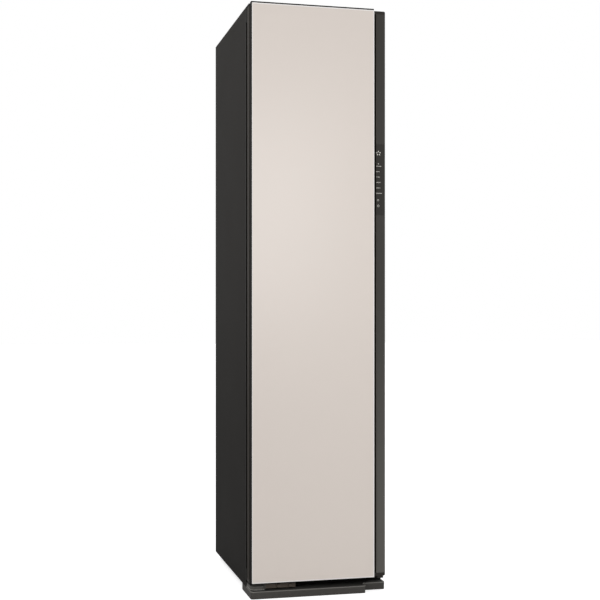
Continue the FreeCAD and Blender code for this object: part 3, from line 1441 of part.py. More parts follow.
def water_pumps():
    """Supply pump and drain pump, lying side by side on the base pan."""
    pumps = []
    z = base_top + pump_radius + pump_lift
    for side in (-1, 1):
        x = compressor_place[0] + side * (pump_radius + pump_gap / 2)
        y = bay_y[1] + boiler_front + boiler_depth + pump_gap
        can = rod(pump_radius, (x, y, z), pump_length * pump_can_share, BACK)
        head = rod(pump_radius * pump_head_slim, (x, y + pump_length * pump_can_share, z),
                   pump_length * pump_head_share, BACK)
        foot = block(around(x, pump_foot_share * pump_radius),
                     (y + pump_foot_start, y + pump_foot_start + pump_foot_length), (base_top, z))
        nozzle = rod(nozzle_radius, (x, y + pump_length * nozzle_share, z), pump_radius + nozzle_reach)
        pumps.append(can.fuse([head, foot, nozzle]).removeSplitter())
    return Part.makeCompound(pumps)


def refrigerant_pipes():
    """Copper pipes between the compressor and both coils."""
    x, y = compressor_place
    top = base_top + compressor_lift + mount_plate + compressor_height
    wall_x = coil_x[1]
    pipes = []
    for side, coil, rise in ((-1, evaporator_y, suction_rise), (1, condenser_y, discharge_rise)):
        place_x, place_y, level = x + side * pipe_spread / 2, sum(coil) / 2, top + rise
        route = [(place_x, y, top), (place_x, y, level), (place_x, place_y, level),
                 (wall_x, place_y, level)]
        pipes.append(pipe(route, pipe_radius, pipe_bend))
    return Part.makeCompound(pipes)


# ================================================================ write the pieces
pieces = {
    "left_side_panel": side_panel(),
    "right_side_panel": mirrored(side_panel()),
    "top_cover": top_cover(),
    "rear_panel": rear_panel(),
    "front_frame": front_frame(),
    "base_frame": base_frame(),
    "base_plinth": base_plinth(),
    "cord_gland": cord_gland(),
    "upper_hinge": upper_hinge(),
    "lower_hinge": lower_hinge(),
    "hinge_covers": hinge_covers(),
    "door_glass": door_glass(),
    "glass_carrier": glass_carrier(),
    "door_shell": door_shell(),
    "grip_channel": grip_channel(),
    "handle_strip": handle_strip(),
    "control_window": control_window(),
    "door_end_caps": door_end_caps(),
    "hinge_bushings": hinge_bushings(),
    "door_liner": door_liner(),
    "door_gasket": door_gasket(),
    "chamber_left": chamber_side(),
    "chamber_right": mirrored(chamber_side()),
    "chamber_back": chamber_back(),
    "chamber_floor": chamber_floor_panel(),
    "chamber_ceiling": chamber_ceiling(),
    "steam_outlet": steam_outlet(),
    "interior_lamp": interior_lamp(),
    "shelf": shelf(),
    "lint_filter": lint_filter(),
    "scent_case": scent_case(),
    "hanger_docks": Part.makeCompound([hanger_dock(x) for x in hangers_x]),
    "tank_bay": tank_bay(),
    "water_tank": tank(-1),
    "water_tank_cap": tank_cap(-1),
    "drain_tank": tank(1),
    "drain_tank_cap": tank_cap(1),
    "rear_duct": rear_duct(),
    "air_plenum": air_plenum(),
    "blower_housing": blower_housing(),
    "jet_impeller": jet_impeller(),
    "blower_motor": blower_motor(),
    "electronics_box": electronics_box(),
    "heat_pump_duct": heat_pump_duct(),
    "evaporator": finned_coil(evaporator_y),
    "condenser": finned_coil(condenser_y),
    "circulation_fan": circulation_fan(),
    "fan_motor": fan_motor(),
    "compressor": compressor(),
    "steam_generator": steam_generator(),
    "steam_hose": steam_hose(),
    "water_pumps": water_pumps(),
    "refrigerant_pipes": refrigerant_pipes(),
}
for name, x in zip(("left", "middle", "right"), hangers_x):
    pieces["air_hanger_" + name] = air_hanger(x)
foot_names = ("front_left", "rear_left", "front_right", "rear_right")
for name, place in zip(foot_names, foot_places):
    pieces["foot_" + name] = levelling_foot(place)

os.makedirs("parts", exist_ok=True)
for name, piece in pieces.items():
    piece.exportStep("parts/" + name + ".step")
    print(name, len(piece.Solids), round(piece.Volume / 1000, 1), piece.isValid())
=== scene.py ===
# %% [markdown]
# # A clothes care steam cabinet
# A narrow, tall appliance for the hall: a dark steel casing, a door faced with satin glass, and a
# light plastic chamber behind it where jackets hang in steam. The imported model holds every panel,
# joint and fan as a mesh. This notebook gives them their finish and adds what is too fine for a
# solid model: screws, printed marks, threads, grips, a sieve and seals. From an empty scene, every
# size would have to be found again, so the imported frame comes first.

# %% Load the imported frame
import json
import math
import bpy
import bmesh
from mathutils import Matrix, Vector
from mathutils.bvhtree import BVHTree


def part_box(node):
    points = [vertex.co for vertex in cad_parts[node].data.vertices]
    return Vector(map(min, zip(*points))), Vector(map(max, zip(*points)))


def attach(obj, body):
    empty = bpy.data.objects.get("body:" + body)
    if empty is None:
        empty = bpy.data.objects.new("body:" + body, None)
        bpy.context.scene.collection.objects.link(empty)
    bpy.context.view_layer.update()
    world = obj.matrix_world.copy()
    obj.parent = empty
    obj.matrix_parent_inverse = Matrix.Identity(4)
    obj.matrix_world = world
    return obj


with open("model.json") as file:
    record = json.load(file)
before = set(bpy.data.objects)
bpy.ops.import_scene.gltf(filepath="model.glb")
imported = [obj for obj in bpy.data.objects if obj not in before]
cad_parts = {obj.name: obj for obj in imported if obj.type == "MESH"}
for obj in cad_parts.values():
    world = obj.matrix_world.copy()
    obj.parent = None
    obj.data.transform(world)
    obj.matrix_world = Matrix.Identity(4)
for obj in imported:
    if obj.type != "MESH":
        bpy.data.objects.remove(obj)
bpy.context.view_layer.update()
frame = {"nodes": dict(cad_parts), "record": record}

# %% [markdown]
# ## Camera
# A tall cabinet is best seen a little from its left, at the height of its middle, with a lens long
# enough to keep its edges nearly parallel. Tilting the camera would make the upright edges lean, so
# it stays level, and a small lens shift places the cabinet in the picture instead.

# %% Place the camera
camera_place = (-0.9337, -3.7212, 0.8789)
camera_turn = math.radians(13.267)
focal_length = 67.657  # on a 36 mm wide sensor
shift_across, shift_up = 0.0333, 0.0250

camera_data = bpy.data.cameras.new("camera")
camera_data.lens = focal_length
camera_data.shift_x = shift_across
camera_data.shift_y = shift_up
camera = bpy.data.objects.new("camera", camera_data)
camera.location = camera_place
camera.rotation_euler = (math.pi / 2, 0, -camera_turn)
bpy.context.scene.collection.objects.link(camera)
bpy.context.scene.camera = camera
bpy.context.scene.view_settings.view_transform = "Standard"
print("camera", [round(value, 3) for value in camera.location])

# %% [markdown]
# ## Arithmetic on surfaces
# A finish is mostly arithmetic: a mask times a tint, a noise added to a roughness. Wiring that by
# hand takes a Math node for every sign. The class below wraps a socket, so that `1 - 0.5 * mask`
# builds the same nodes and still reads like a sum.


# %% A socket that does arithmetic
class Field:
    """An output of a shader node that takes part in sums."""

    def __init__(self, tree, socket):
        self.tree, self.socket = tree, socket

    @classmethod
    def of(cls, tree, kind, settings, sockets, output=0):
        """Any node: its settings first, then the values or links of its sockets."""
        node = tree.nodes.new("ShaderNode" + kind)
        for name, value in settings.items():
            setattr(node, name, value)
        for name, value in sockets.items():
            if isinstance(value, cls):
                tree.links.new(value.socket, node.inputs[name])
            else:
                node.inputs[name].default_value = value
        return cls(tree, node.outputs[output])

    def math(self, operation, *terms):
        """One Math node on its terms, each of them a number or a field."""
        return Field.of(self.tree, "Math", {"operation": operation}, dict(enumerate(terms)))

    def __add__(self, other):
        return self.math("ADD", self, other)

    def __sub__(self, other):
        return self.math("SUBTRACT", self, other)

    def __rsub__(self, other):
        return self.math("SUBTRACT", other, self)

    def __mul__(self, other):
        return self.math("MULTIPLY", self, other)

    def __gt__(self, other):
        return self.math("GREATER_THAN", self, other)

    def __abs__(self):
        return self.math("ABSOLUTE", self)

    __radd__, __rmul__ = __add__, __mul__

    def highest(self, other):
        return self.math("MAXIMUM", self, other)

    def ramp(self, low, high):
        """0 below low, 1 above high and smooth between them."""
        return Field.of(self.tree, "MapRange", {"interpolation_type": "SMOOTHSTEP"},
                        {0: self, 1: low, 2: high, 3: 0.0, 4: 1.0})


print("a Field understands + - * > and abs()")

# %% [markdown]
# ## Units and colours
# Finishes are given in millimetres and in the numbers from 0 to 255 that a colour picker shows.
# Blender measures in metres and adds up light, for which those numbers are unevenly spaced. Both
# could be converted by hand, but then nobody could read the values any more.

# %% Millimetres and picker colours
MM = 0.001  # a millimetre in metres


def srgb(red, green, blue):
    """Linear colour of the three numbers from 0 to 255 that a colour picker shows."""
    linear = [((c / 255 + 0.055) / 1.055) ** 2.4 if c > 10 else c / 255 / 12.92
              for c in (red, green, blue)]
    return (*linear, 1.0)


def darker(colour, share):
    """A colour with a share of its brightness, which may also be a little over 1."""
    return (*[channel * share for channel in colour[:3]], 1.0)


print("a picker's middle grey has", round(srgb(128, 128, 128)[0], 3), "of white's light")

# %% [markdown]
# ## Patterns that need no unwrapping
# A pattern needs a place on the surface. For an image, every mesh would be unwrapped first. The
# object's own coordinates need nothing: they have one scale for all pieces, cross edges without a
# seam, and travel with a piece when a joint moves it. Noise on them gives clouds and grain.

# %% Places, noise and blends
def axes_of(place):
    """The three coordinates of a place, or of a direction, as fields of their own."""
    split = Field.of(place.tree, "SeparateXYZ", {}, {0: place}).socket.node
    return [Field(place.tree, output) for output in split.outputs]


def stretched(place, stretch):
    """The place with each axis scaled, so that a noise on it is drawn out along one direction."""
    return Field.of(place.tree, "VectorMath", {"operation": "MULTIPLY"}, {0: place, 1: stretch})


def noise(place, size, detail=2.0):
    """Soft noise between 0 and 1 whose blotches are about one size, in millimetres."""
    return Field.of(place.tree, "TexNoise", {},
                    {"Vector": place, "Scale": 1 / (size * MM), "Detail": detail})


def blend_colours(mask, first, second):
    """The first colour where the mask is 0 and the second where it is 1."""
    return Field.of(mask.tree, "Mix", {"data_type": "RGBA"}, {0: mask, 6: first, 7: second}, 2)


UPRIGHT_GRAIN = (1.0, 1.0, 0.03)
LEVEL_GRAIN = (0.03, 1.0, 1.0)
print("drawn grain is", round(1 / UPRIGHT_GRAIN[2]), "times as long as it is wide")

# %% [markdown]
# ## One recipe for every finish
# Paint, moulded plastic, rubber and bare metal differ in colour, gloss and grain, and in little
# else. Each could have nodes of its own, but one recipe keeps them alike: a base colour that drifts
# slightly over the surface, a roughness that drifts with it, and a fine grain that tilts it.

# %% The recipe
CLOUD_SIZE = 160.0  # of the slow drift, in millimetres
CLOUD_SHARE = 0.6  # of the drift; the grain has the rest


def new_finish(name):
    """An empty material, its shader, and the place of the shaded point in the object's frame."""
    material = bpy.data.materials.new(name)
    material.use_nodes = True
    tree = material.node_tree
    return material, tree.nodes["Principled BSDF"], Field.of(tree, "TexCoord", {}, {}, "Object")


def feed(shader, **inputs):
    """Numbers go on the shader's own sockets, and fields are linked to them."""
    for name, value in inputs.items():
        socket = shader.inputs[name.replace("_", " ")]
        if isinstance(value, Field):
            value.tree.links.new(value.socket, socket)
        else:
            socket.default_value = value


def tilt(height, depth):
    """Surface normal tilted by a height that varies from 0 to 1, its depth in millimetres."""
    return Field.of(height.tree, "Bump", {},
                    {"Height": height, "Distance": depth * MM, "Strength": 1.0})


def finish(name, colour, roughness, grain=0.8, depth=0.03, drift=0.06, gloss=0.5,
           stretch=(1, 1, 1), **fixed):
    """The common recipe: grain and depth in millimetres, gloss as the specular level."""
    material, shader, place = new_finish(name)
    place = stretched(place, stretch)
    cloud = noise(place, CLOUD_SIZE)
    speck = noise(place, grain, 3.0)
    shade = CLOUD_SHARE * cloud + (1 - CLOUD_SHARE) * speck
    feed(shader,
         Base_Color=blend_colours(shade, darker(colour, 1 - drift), darker(colour, 1 + drift)),
         Roughness=roughness - drift + shade * (2 * drift),
         Normal=tilt(speck, depth), Specular_IOR_Level=gloss, **fixed)
    return material


def dress(node, material):
    """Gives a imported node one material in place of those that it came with."""
    materials = frame["nodes"][node].data.materials
    materials.clear()
    materials.append(material)


print("finishes drift over about", CLOUD_SIZE, "mm")

# %% [markdown]
# ## Casing
# The side sheets and the top are steel with a dark, slightly brown powder coat, whose fine orange
# peel breaks up reflections without looking rough. Along each fold a painted highlight brightens the
# coat, and toward the floor painted shade darkens it. That could be painted on an image, but two
# distances worked out from the sheet's own box do the folds at any size, and the height does the
# shade.

# %% Painted casing
PAINT = srgb(40, 38, 36)
# painted highlight along the front and top folds
PAINT_FOLD_HIGHLIGHT = srgb(70, 68, 65)
PAINT_GLOSS = 0.03  # specular level, low so that the coat stays dark edge-on
peel_size = 1.3
fold_highlight_width = 1.6 * MM
shade_height = 1.1  # painted shade: below this the coat is darkened slowly toward the floor
floor_shade = 0.72  # share of its brightness that the painted shade leaves at the floor


def painted_panel(name, box):
    """Powder coat with a painted highlight within a fold's width of the panel's front and top edges,
    and painted shade toward the floor.
    """
    material, shader, place = new_finish(name)
    y, z = axes_of(place)[1:]
    low, high = box
    peel = noise(place, peel_size)
    cloud = noise(place, 240.0)
    # painted highlight: a mask over a fold's width at the front and top edges
    edge = (1 - (y - low.y).ramp(0.0, fold_highlight_width)).highest(1 - (high.z - z).ramp(0.0, fold_highlight_width))
    coat = blend_colours(cloud, darker(PAINT, 0.94), darker(PAINT, 1.06))
    # painted shade: the coat darkens toward the floor
    coat = blend_colours(z.ramp(0.0, shade_height), darker(PAINT, floor_shade), coat)
    feed(shader,
         Base_Color=blend_colours(0.8 * edge, coat, PAINT_FOLD_HIGHLIGHT),
         Roughness=0.62 + 0.06 * cloud - 0.05 * edge,
         Normal=tilt(peel, 0.03),
         Specular_IOR_Level=PAINT_GLOSS)
    return material


for panel in ("left_side_panel", "right_side_panel", "top_cover"):
    dress(panel, painted_panel(panel + "_coat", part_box(panel)))
print("casing painted, folds glow over", fold_highlight_width, "m")

# %% [markdown]
# ## Coated, plated and bare metals
# Nobody looks at the back and the bottom, so they have a cheaper finish: a grey coated sheet with a
# faint rolled direction, and zinc with cloudy crystals. The heat pump has bare fins and drawn
# copper. A stretched noise gives the rolling and drawing marks, and a cell pattern the crystals,
# where an image of real zinc would repeat visibly.

# %% Rolled, drawn and plated metals
REAR_GREY = srgb(128, 129, 127)
ZINC = srgb(176, 178, 182)
STAINLESS = srgb(186, 187, 188)
ALUMINIUM = srgb(198, 200, 203)
COPPER = srgb(196, 122, 86)


def plated(name, colour, crystal):
    """Zinc plating: cloudy cells of slightly different brightness over a fine grain."""
    material, shader, place = new_finish(name)
    cells = Field.of(place.tree, "TexVoronoi", {},
                     {"Vector": place, "Scale": 1 / (crystal * MM)})
    feed(shader,
         Base_Color=blend_colours(cells, darker(colour, 0.85), colour),
         Roughness=0.28 + 0.18 * cells, Metallic=1.0,
         Normal=tilt(noise(place, 0.5), 0.01))
    return material


slot_finish = {
    "rear_sheet": finish("coated_rear_sheet", REAR_GREY, 0.5, depth=0.01, drift=0.05,
                         stretch=UPRIGHT_GRAIN, Metallic=0.2),
    "base_steel": finish("black_base_coat", srgb(38, 38, 38), 0.5, grain=0.9, depth=0.02),
    "foot_steel": plated("zinc_foot", ZINC, 6.0),
    "motor_steel": plated("zinc_motor", ZINC, 9.0),
    "boiler_steel": finish("rolled_stainless", STAINLESS, 0.3, grain=0.4, depth=0.01, drift=0.05,
                           stretch=LEVEL_GRAIN, Metallic=1.0),
    "fin_aluminium": finish("bare_fins", ALUMINIUM, 0.32, grain=0.5, depth=0.01, drift=0.05,
                            stretch=UPRIGHT_GRAIN, Metallic=1.0),
    "compressor_paint": finish("compressor_enamel", srgb(22, 22, 23), 0.3, grain=2.0),
    "pipe_copper": finish("drawn_copper", COPPER, 0.25, grain=0.7, depth=0.01, drift=0.08,
                          Metallic=1.0),
}
print(len(slot_finish), "metal finishes")

# %% [markdown]
# ## Door glass
# The front is one pane of glass, painted on its back in a warm pale tone and etched on its face, so
# that it glows softly and shows no sharp reflection. The polished bevel round it catches the light,
# and a painted highlight in its colour makes that a thin bright line; the cut sides look darker.
# Three materials could do this, but one with masks from the pane's own box needs no seams.

# %% Back-painted satin glass
GLASS_TONE = srgb(224, 214, 206)
# painted highlight on the polished bevel
GLASS_BEVEL_HIGHLIGHT = srgb(246, 243, 240)
GLASS_SIDE = srgb(70, 66, 63)
bevel_width = 3.2 * MM
bevel_depth = 0.85 * MM  # from the face to where the cut side begins
dark_edge_width = 1.3 * MM  # dark strip of the face along the hinge-side edge, in the cut sides' colour


def satin_glass(name, box):
    """Etched pane with a polished bevel that carries a painted highlight, its colour painted on the
    back.
    """
    material, shader, place = new_finish(name)
    x, y, z = axes_of(place)
    low, high = box
    to_sides = abs(x - (low.x + high.x) / 2) - (high.x - low.x) / 2
    to_ends = abs(z - (low.z + high.z) / 2) - (high.z - low.z) / 2
    # the bevel band; its colour is a painted highlight
    rim = to_sides.highest(to_ends) > -bevel_width
    side = (y > low.y + bevel_depth).highest(1 - (x > low.x + dark_edge_width))
    cloud = noise(place, 420.0)
    etch = noise(place, 0.6)
    paint = blend_colours(cloud, darker(GLASS_TONE, 0.985), darker(GLASS_TONE, 1.015))
    edge = blend_colours(side, GLASS_BEVEL_HIGHLIGHT, GLASS_SIDE)
    feed(shader,
         Base_Color=blend_colours(rim, paint, edge),
         Roughness=0.42 + 0.04 * etch - 0.3 * rim,
         Coat_Weight=0.15 + 0.6 * rim,
         Normal=tilt(etch, 0.004),
         Coat_Roughness=0.25)
    return material


pane_low, pane_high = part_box("door_glass")
slot_finish["door_glass"] = satin_glass("satin_door_glass", (pane_low, pane_high))
print("pane", [round(size, 4) for size in pane_high - pane_low])

# %% [markdown]
# ## Handle strip
# Beside the glass runs an anodised strip, and fingers reach in between the two. Anodising keeps the
# metal's drawn grain, so its noise is stretched along the height and its highlight becomes a long
# streak. Toward the foot the colour pales as a painted reflection of the floor, and a ramp across
# the strip's first millimetres paints a highlight on its grip edge.

# %% Anodised strip
DARK_GLOSS = 0.08  # specular level of the dark coats, kept low so they stay dark
STRIP_TOP = srgb(66, 64, 61)
# painted reflection of the bright floor at the strip's foot
STRIP_FOOT_REFLECTION = srgb(99, 97, 93)
# painted highlight on the grip edge
STRIP_EDGE_HIGHLIGHT = srgb(104, 98, 90)
reflection_fade_height = 1.0  # above this the painted reflection is gone and the strip has one colour
grip_highlight_width = 2.4 * MM


def anodised(name, box):
    """Dark anodised strip: drawn grain, a painted floor reflection that pales its foot, and a
    painted highlight on its grip edge.
    """
    material, shader, place = new_finish(name)
    x, _, z = axes_of(place)
    low = box[0]
    drawn = noise(stretched(place, UPRIGHT_GRAIN), 0.35, 3.0)
    # painted reflection: the colour pales toward the foot
    painted_reflection_tone = blend_colours((z - low.z).ramp(0.0, reflection_fade_height), STRIP_FOOT_REFLECTION, STRIP_TOP)
    # painted highlight over the strip's first millimetres
    grip_highlight = 0.8 * (1 - (x - low.x).ramp(0.0, grip_highlight_width))
    feed(shader,
         Base_Color=blend_colours(grip_highlight, painted_reflection_tone, STRIP_EDGE_HIGHLIGHT),
         Roughness=0.4 + 0.12 * drawn - 0.06 * grip_highlight,
         Normal=tilt(drawn, 0.012),
         Metallic=0.2, Specular_IOR_Level=DARK_GLOSS)
    return material


slot_finish["strip_metal"] = anodised("dark_anodised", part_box("handle_strip"))
print("strip pales below", reflection_fade_height, "m and is worn over", grip_highlight_width, "m")

# %% [markdown]
# ## Plinth
# The base is one grey moulding with a painted highlight along its upper rim, and its textured deck
# under the door is nearly black as painted shade. Faces could be painted one by one, but a mask for
# height and one for faces that look up give the same line on any mesh.

# %% Plinth moulding with painted highlight and painted shade
PLINTH_TONE = srgb(74, 72, 69)
PLINTH_RIM_HIGHLIGHT = srgb(118, 116, 112)
# painted shade on the deck under the door
DECK_PAINTED_SHADE = srgb(16, 16, 15)
rim_highlight_depth = 3.2 * MM  # the rim's painted highlight begins this far below its top
rim_highlight_fade = 1.2 * MM


def plinth_moulding(name, box):
    """Grey moulding with a painted highlight on its top rim, round a textured deck in painted shade.
    """
    material, shader, place = new_finish(name)
    z = axes_of(place)[2]
    facing = Field.of(place.tree, "NewGeometry", {}, {}, "Normal")
    upward = axes_of(facing)[2] > 0.5
    # painted highlight: a band just below the rim's top
    rim = (z - box[1].z).ramp(-rim_highlight_depth, rim_highlight_fade - rim_highlight_depth)
    texture = noise(place, 0.8, 3.0)
    coat = blend_colours(rim, darker(PLINTH_TONE, 0.98), PLINTH_RIM_HIGHLIGHT)
    feed(shader,
         # painted shade on faces that look up, below the rim
         Base_Color=blend_colours(upward * (1 - rim), coat, DECK_PAINTED_SHADE),
         Roughness=0.5 - 0.12 * rim + 0.06 * texture,
         Normal=tilt(texture, 0.03),
         Specular_IOR_Level=DARK_GLOSS)
    return material


slot_finish["plinth_plastic"] = plinth_moulding("plinth_moulding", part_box("base_plinth"))
print("plinth rim", rim_highlight_depth, "m high")

# %% [markdown]
# ## Hinges
# The lower hinge is a steel arm on a bar. Both are coated, the bar a little browner, and a painted
# highlight brightens the arm's lower edge. One tone ends at a known length along the hinge, so a
# mask across its box is enough, and no face needs to be picked.

# %% Coated hinge steel
ARM_TONE = srgb(92, 90, 86)
# painted highlight on the arm's lower rim
ARM_RIM_HIGHLIGHT = srgb(172, 170, 165)
BAR_TONE = srgb(96, 87, 79)
arm_length = 50 * MM  # from the arm's end to the bar
arm_lift = 3.5 * MM  # the hinge's foot reaches this far below the arm
arm_highlight_height = 4.0 * MM


def hinge_coat(name, box):
    """Coated hinge steel: a grey arm with a painted highlight on its lower rim, and a browner bar
    beside it.
    """
    material, shader, place = new_finish(name)
    x, _, z = axes_of(place)
    low = box[0]
    arm = 1 - (x - low.x).ramp(arm_length - MM, arm_length)
    # painted highlight along the arm's lower rim
    rim = arm * (1 - (z - low.z).ramp(arm_lift, arm_lift + arm_highlight_height))
    speck = noise(place, 0.9, 3.0)
    coat = blend_colours(arm, BAR_TONE, ARM_TONE)
    feed(shader,
         Base_Color=blend_colours(rim, coat, ARM_RIM_HIGHLIGHT),
         Roughness=0.42 + 0.06 * speck,
         Normal=tilt(speck, 0.02),
         Specular_IOR_Level=DARK_GLOSS)
    return material


hinge_low, hinge_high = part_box("lower_hinge")
slot_finish["hinge_steel"] = hinge_coat("hinge_coat", (hinge_low, hinge_high))
print("hinge", [round(size, 3) for size in hinge_high - hinge_low])

# %% [markdown]
# ## The rest of the door and the frame
# The touch window is a smoked gloss insert, the end caps are moulded to match the metal, and all
# that lies between door and cabinet is black; the gasket there is darkened past its own black rubber
# as painted shade in the gap. These need no masks, so the common recipe makes them.
# Seen edge-on, even a black gloss turns pale, so their specular level stays very low.

# %% Window, caps, frame and gasket
SIDE_GLOSS = 0.02  # specular level of what is mostly seen edge-on
slot_finish.update({
    "window_gloss": finish("smoked_window", srgb(60, 58, 55), 0.2, grain=5.0, depth=0.002,
                           drift=0.03, gloss=DARK_GLOSS),
    "door_metal": finish("satin_door_coat", srgb(48, 44, 39), 0.45, grain=1.1, depth=0.02,
                         gloss=SIDE_GLOSS),
    "cap_plastic": finish("door_cap_moulding", srgb(52, 49, 46), 0.5, grain=0.7, gloss=DARK_GLOSS),
    "black_plastic": finish("black_moulding", srgb(17, 16, 15), 0.55, grain=0.7, gloss=SIDE_GLOSS),
    "frame_plastic": finish("frame_moulding", srgb(34, 33, 31), 0.5, gloss=SIDE_GLOSS),
    # black rubber, darkened further as painted shade in the gap between door and cabinet
    "gasket_rubber": finish("gasket_rubber", srgb(12, 12, 12), 0.62, grain=0.4, gloss=SIDE_GLOSS),
    "bushing_plastic": finish("bushing_acetal", srgb(30, 30, 31), 0.3, grain=1.0, depth=0.005,
                              drift=0.02, gloss=DARK_GLOSS),
})
print(len(slot_finish), "finishes so far")

# %% [markdown]
# ## Chamber, fittings and tanks
# Inside, everything that meets steam is moulded in light plastic with a spark-eroded texture, fine
# enough to hide water marks. The tanks are smoky and see-through, so that the level can be read.
# Real see-through plastic is slow to render, but at a few millimetres it costs little here.


# %% See-through and glowing plastics
def smoked(name, colour, clearness):
    """See-through moulding: it passes light and frosts it a little."""
    material, shader, place = new_finish(name)
    haze = noise(place, 30.0)
    feed(shader,
         Base_Color=blend_colours(haze, darker(colour, 0.94), colour),
         Roughness=0.16 + 0.1 * haze,
         Normal=tilt(noise(place, 1.2), 0.008),
         Transmission_Weight=clearness, IOR=1.49)
    return material


def glowing(name, colour, strength):
    """Frosted light guide whose frost mottles its light."""
    material, shader, place = new_finish(name)
    frost = noise(place, 4.0)
    feed(shader,
         Base_Color=blend_colours(frost, darker(colour, 0.95), colour),
         Roughness=0.4 + 0.1 * frost,
         Emission_Color=blend_colours(frost, darker(colour, 0.9), colour),
         Emission_Strength=strength)
    return material


slot_finish["lamp_diffuser"] = glowing("lamp_guide", srgb(250, 247, 238), 0.9)
slot_finish["tank_plastic"] = smoked("smoky_tank", srgb(150, 162, 172), 0.55)
print("lamp and tanks have finishes of their own")

# %% [markdown]
# ## Dress every node
# The remaining mouldings differ in tone and texture. The record names a material slot for each
# node, so one loop hands out all the finishes, where node by node would take sixty lines.

# %% Moulded plastics, and all finishes on their nodes
slot_finish.update({
    "inner_plastic": finish("chamber_moulding", srgb(208, 208, 205), 0.42, grain=0.9, drift=0.03),
    "shelf_plastic": finish("shelf_moulding", srgb(150, 150, 148), 0.45),
    "filter_plastic": finish("filter_moulding", srgb(98, 116, 128), 0.42),
    "scent_plastic": finish("scent_moulding", srgb(166, 162, 155), 0.42),
    "hanger_plastic": finish("hanger_moulding", srgb(62, 63, 65), 0.34, grain=1.0, depth=0.02),
    "tank_cap": finish("blue_cap", srgb(58, 96, 132), 0.36, depth=0.02),
    "drain_cap": finish("grey_cap", srgb(120, 121, 122), 0.36, depth=0.02),
    "duct_plastic": finish("duct_moulding", srgb(62, 62, 62), 0.5, grain=0.9),
    "fan_plastic": finish("fan_moulding", srgb(52, 53, 55), 0.36, grain=0.9, depth=0.02),
    "hose_rubber": finish("silicone_hose", srgb(186, 182, 174), 0.4, grain=0.9, depth=0.01),
    "pump_plastic": finish("pump_moulding", srgb(216, 215, 210), 0.4, grain=0.9, depth=0.02),
})
for entry in frame["record"]["subparts"]:
    if entry["material_slot"] in slot_finish:
        dress(entry["node"], slot_finish[entry["material_slot"]])
print(len(slot_finish), "finishes on", len(frame["nodes"]), "nodes")

# %% [markdown]
# ## Pieces made in mesh code
# Screws, marks and seals are too fine for the solid model, so they are built here. Each is drawn
# face by face in a bmesh, Blender's editable mesh, and handed to the CAD body that carries it, so
# that it moves with that body's joint. Ready-made primitives are quicker to call, but their faces
# rarely fall where a recess, a rib or a rounded rim needs them.

# %% From a bmesh to a piece that rides
SMOOTH_BELOW = math.radians(38)


def add_piece(name, mesh, body, material):
    """Turns a finished bmesh into an object that rides on a body, with the material it is given."""
    bmesh.ops.recalc_face_normals(mesh, faces=mesh.faces)
    for face in mesh.faces:
        face.smooth = True
    data = bpy.data.meshes.new(name)
    mesh.to_mesh(data)
    mesh.free()
    data.set_sharp_from_angle(angle=SMOOTH_BELOW)
    data.materials.append(material)
    piece = bpy.data.objects.new(name, data)
    bpy.context.scene.collection.objects.link(piece)
    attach(piece, body)
    return piece


def spaced(first, last, count):
    """Evenly spaced places from the first to the last."""
    return [first + (last - first) * i / (count - 1) for i in range(count)]


print("pieces are smooth below", round(math.degrees(SMOOTH_BELOW)), "degrees")

# %% [markdown]
# ## Turned forms
# Most small fittings are round, with one profile all the way about an axis. So they are drawn as
# rings of corners about the origin, joined by bands of faces, and then moved to their place. A
# Screw modifier would turn a profile as well, but its rings couldn't be joined to a recess.

# %% Rings, bands and where they go
FORWARD, BACKWARD, UPWARD = (0, -1, 0), (0, 1, 0), (0, 0, 1)
UP_VECTOR = Vector(UPWARD)


def circle(mesh, radius, height, count):
    """A ring of corners about the Z axis."""
    turns = [2 * math.pi * i / count for i in range(count)]
    return [mesh.verts.new((radius * math.cos(t), radius * math.sin(t), height)) for t in turns]


def join_rings(mesh, lower, upper):
    """A band of faces between two rings with as many corners."""
    count = len(lower)
    for i in range(count):
        following = (i + 1) % count
        mesh.faces.new((lower[i], lower[following], upper[following], upper[i]))


def turned(mesh, profile, count):
    """Rings of a turned form, joined; the first and last ring stay open."""
    rings = [circle(mesh, radius, height, count) for radius, height in profile]
    for lower, upper in zip(rings, rings[1:]):
        join_rings(mesh, lower, upper)
    return rings


def put(mesh, already, place, axis):
    """Moves all but the corners that were already there to a place, with their Z along an axis."""
    mesh.verts.ensure_lookup_table()
    turn = UP_VECTOR.rotation_difference(Vector(axis)).to_matrix().to_4x4()
    bmesh.ops.transform(mesh, matrix=Matrix.Translation(place) @ turn, verts=mesh.verts[already:])


def turned_at(mesh, profile, place, axis, count=20):
    """A turned form in millimetres, drawn at a place along an axis."""
    already = len(mesh.verts)
    turned(mesh, [(radius * MM, height * MM) for radius, height in profile], count)
    put(mesh, already, place, axis)


print("forms are turned about", UPWARD, "and then laid along their own axis")

# %% [markdown]
# ## Screws with a cross recess
# A pan head is a shallow dome with a cross pressed into it. The dome is turned from a short
# profile. The cross is a plus-shaped outline sunk into the top, and the face between it and the
# dome is filled. A Boolean would cut it too, but leaves long thin faces around the recess.

# %% Pan heads
HEAD_DOME = [(1.0, 0.0), (1.0, 0.3), (0.86, 0.52), (0.62, 0.62)]  # shares of the head's radius
CROSS_REACH, CROSS_HALF_WIDTH, CROSS_DEPTH = 0.46, 0.11, 0.4  # shares of it too
CROSS_TAPER = 0.8  # its floor against its mouth


def plus_outline(reach, half_width):
    """Twelve corners of a plus sign."""
    corners = []
    for quarter in range(4):
        turn = Matrix.Rotation(quarter * math.pi / 2, 2)
        for corner in ((reach, -half_width), (reach, half_width), (half_width, half_width)):
            corners.append(turn @ Vector(corner))
    return corners


def ring_edges(mesh, ring):
    """The edges round a ring, made where they are missing."""
    pairs = [(ring[i - 1], ring[i]) for i in range(len(ring))]
    return [mesh.edges.get(pair) or mesh.edges.new(pair) for pair in pairs]


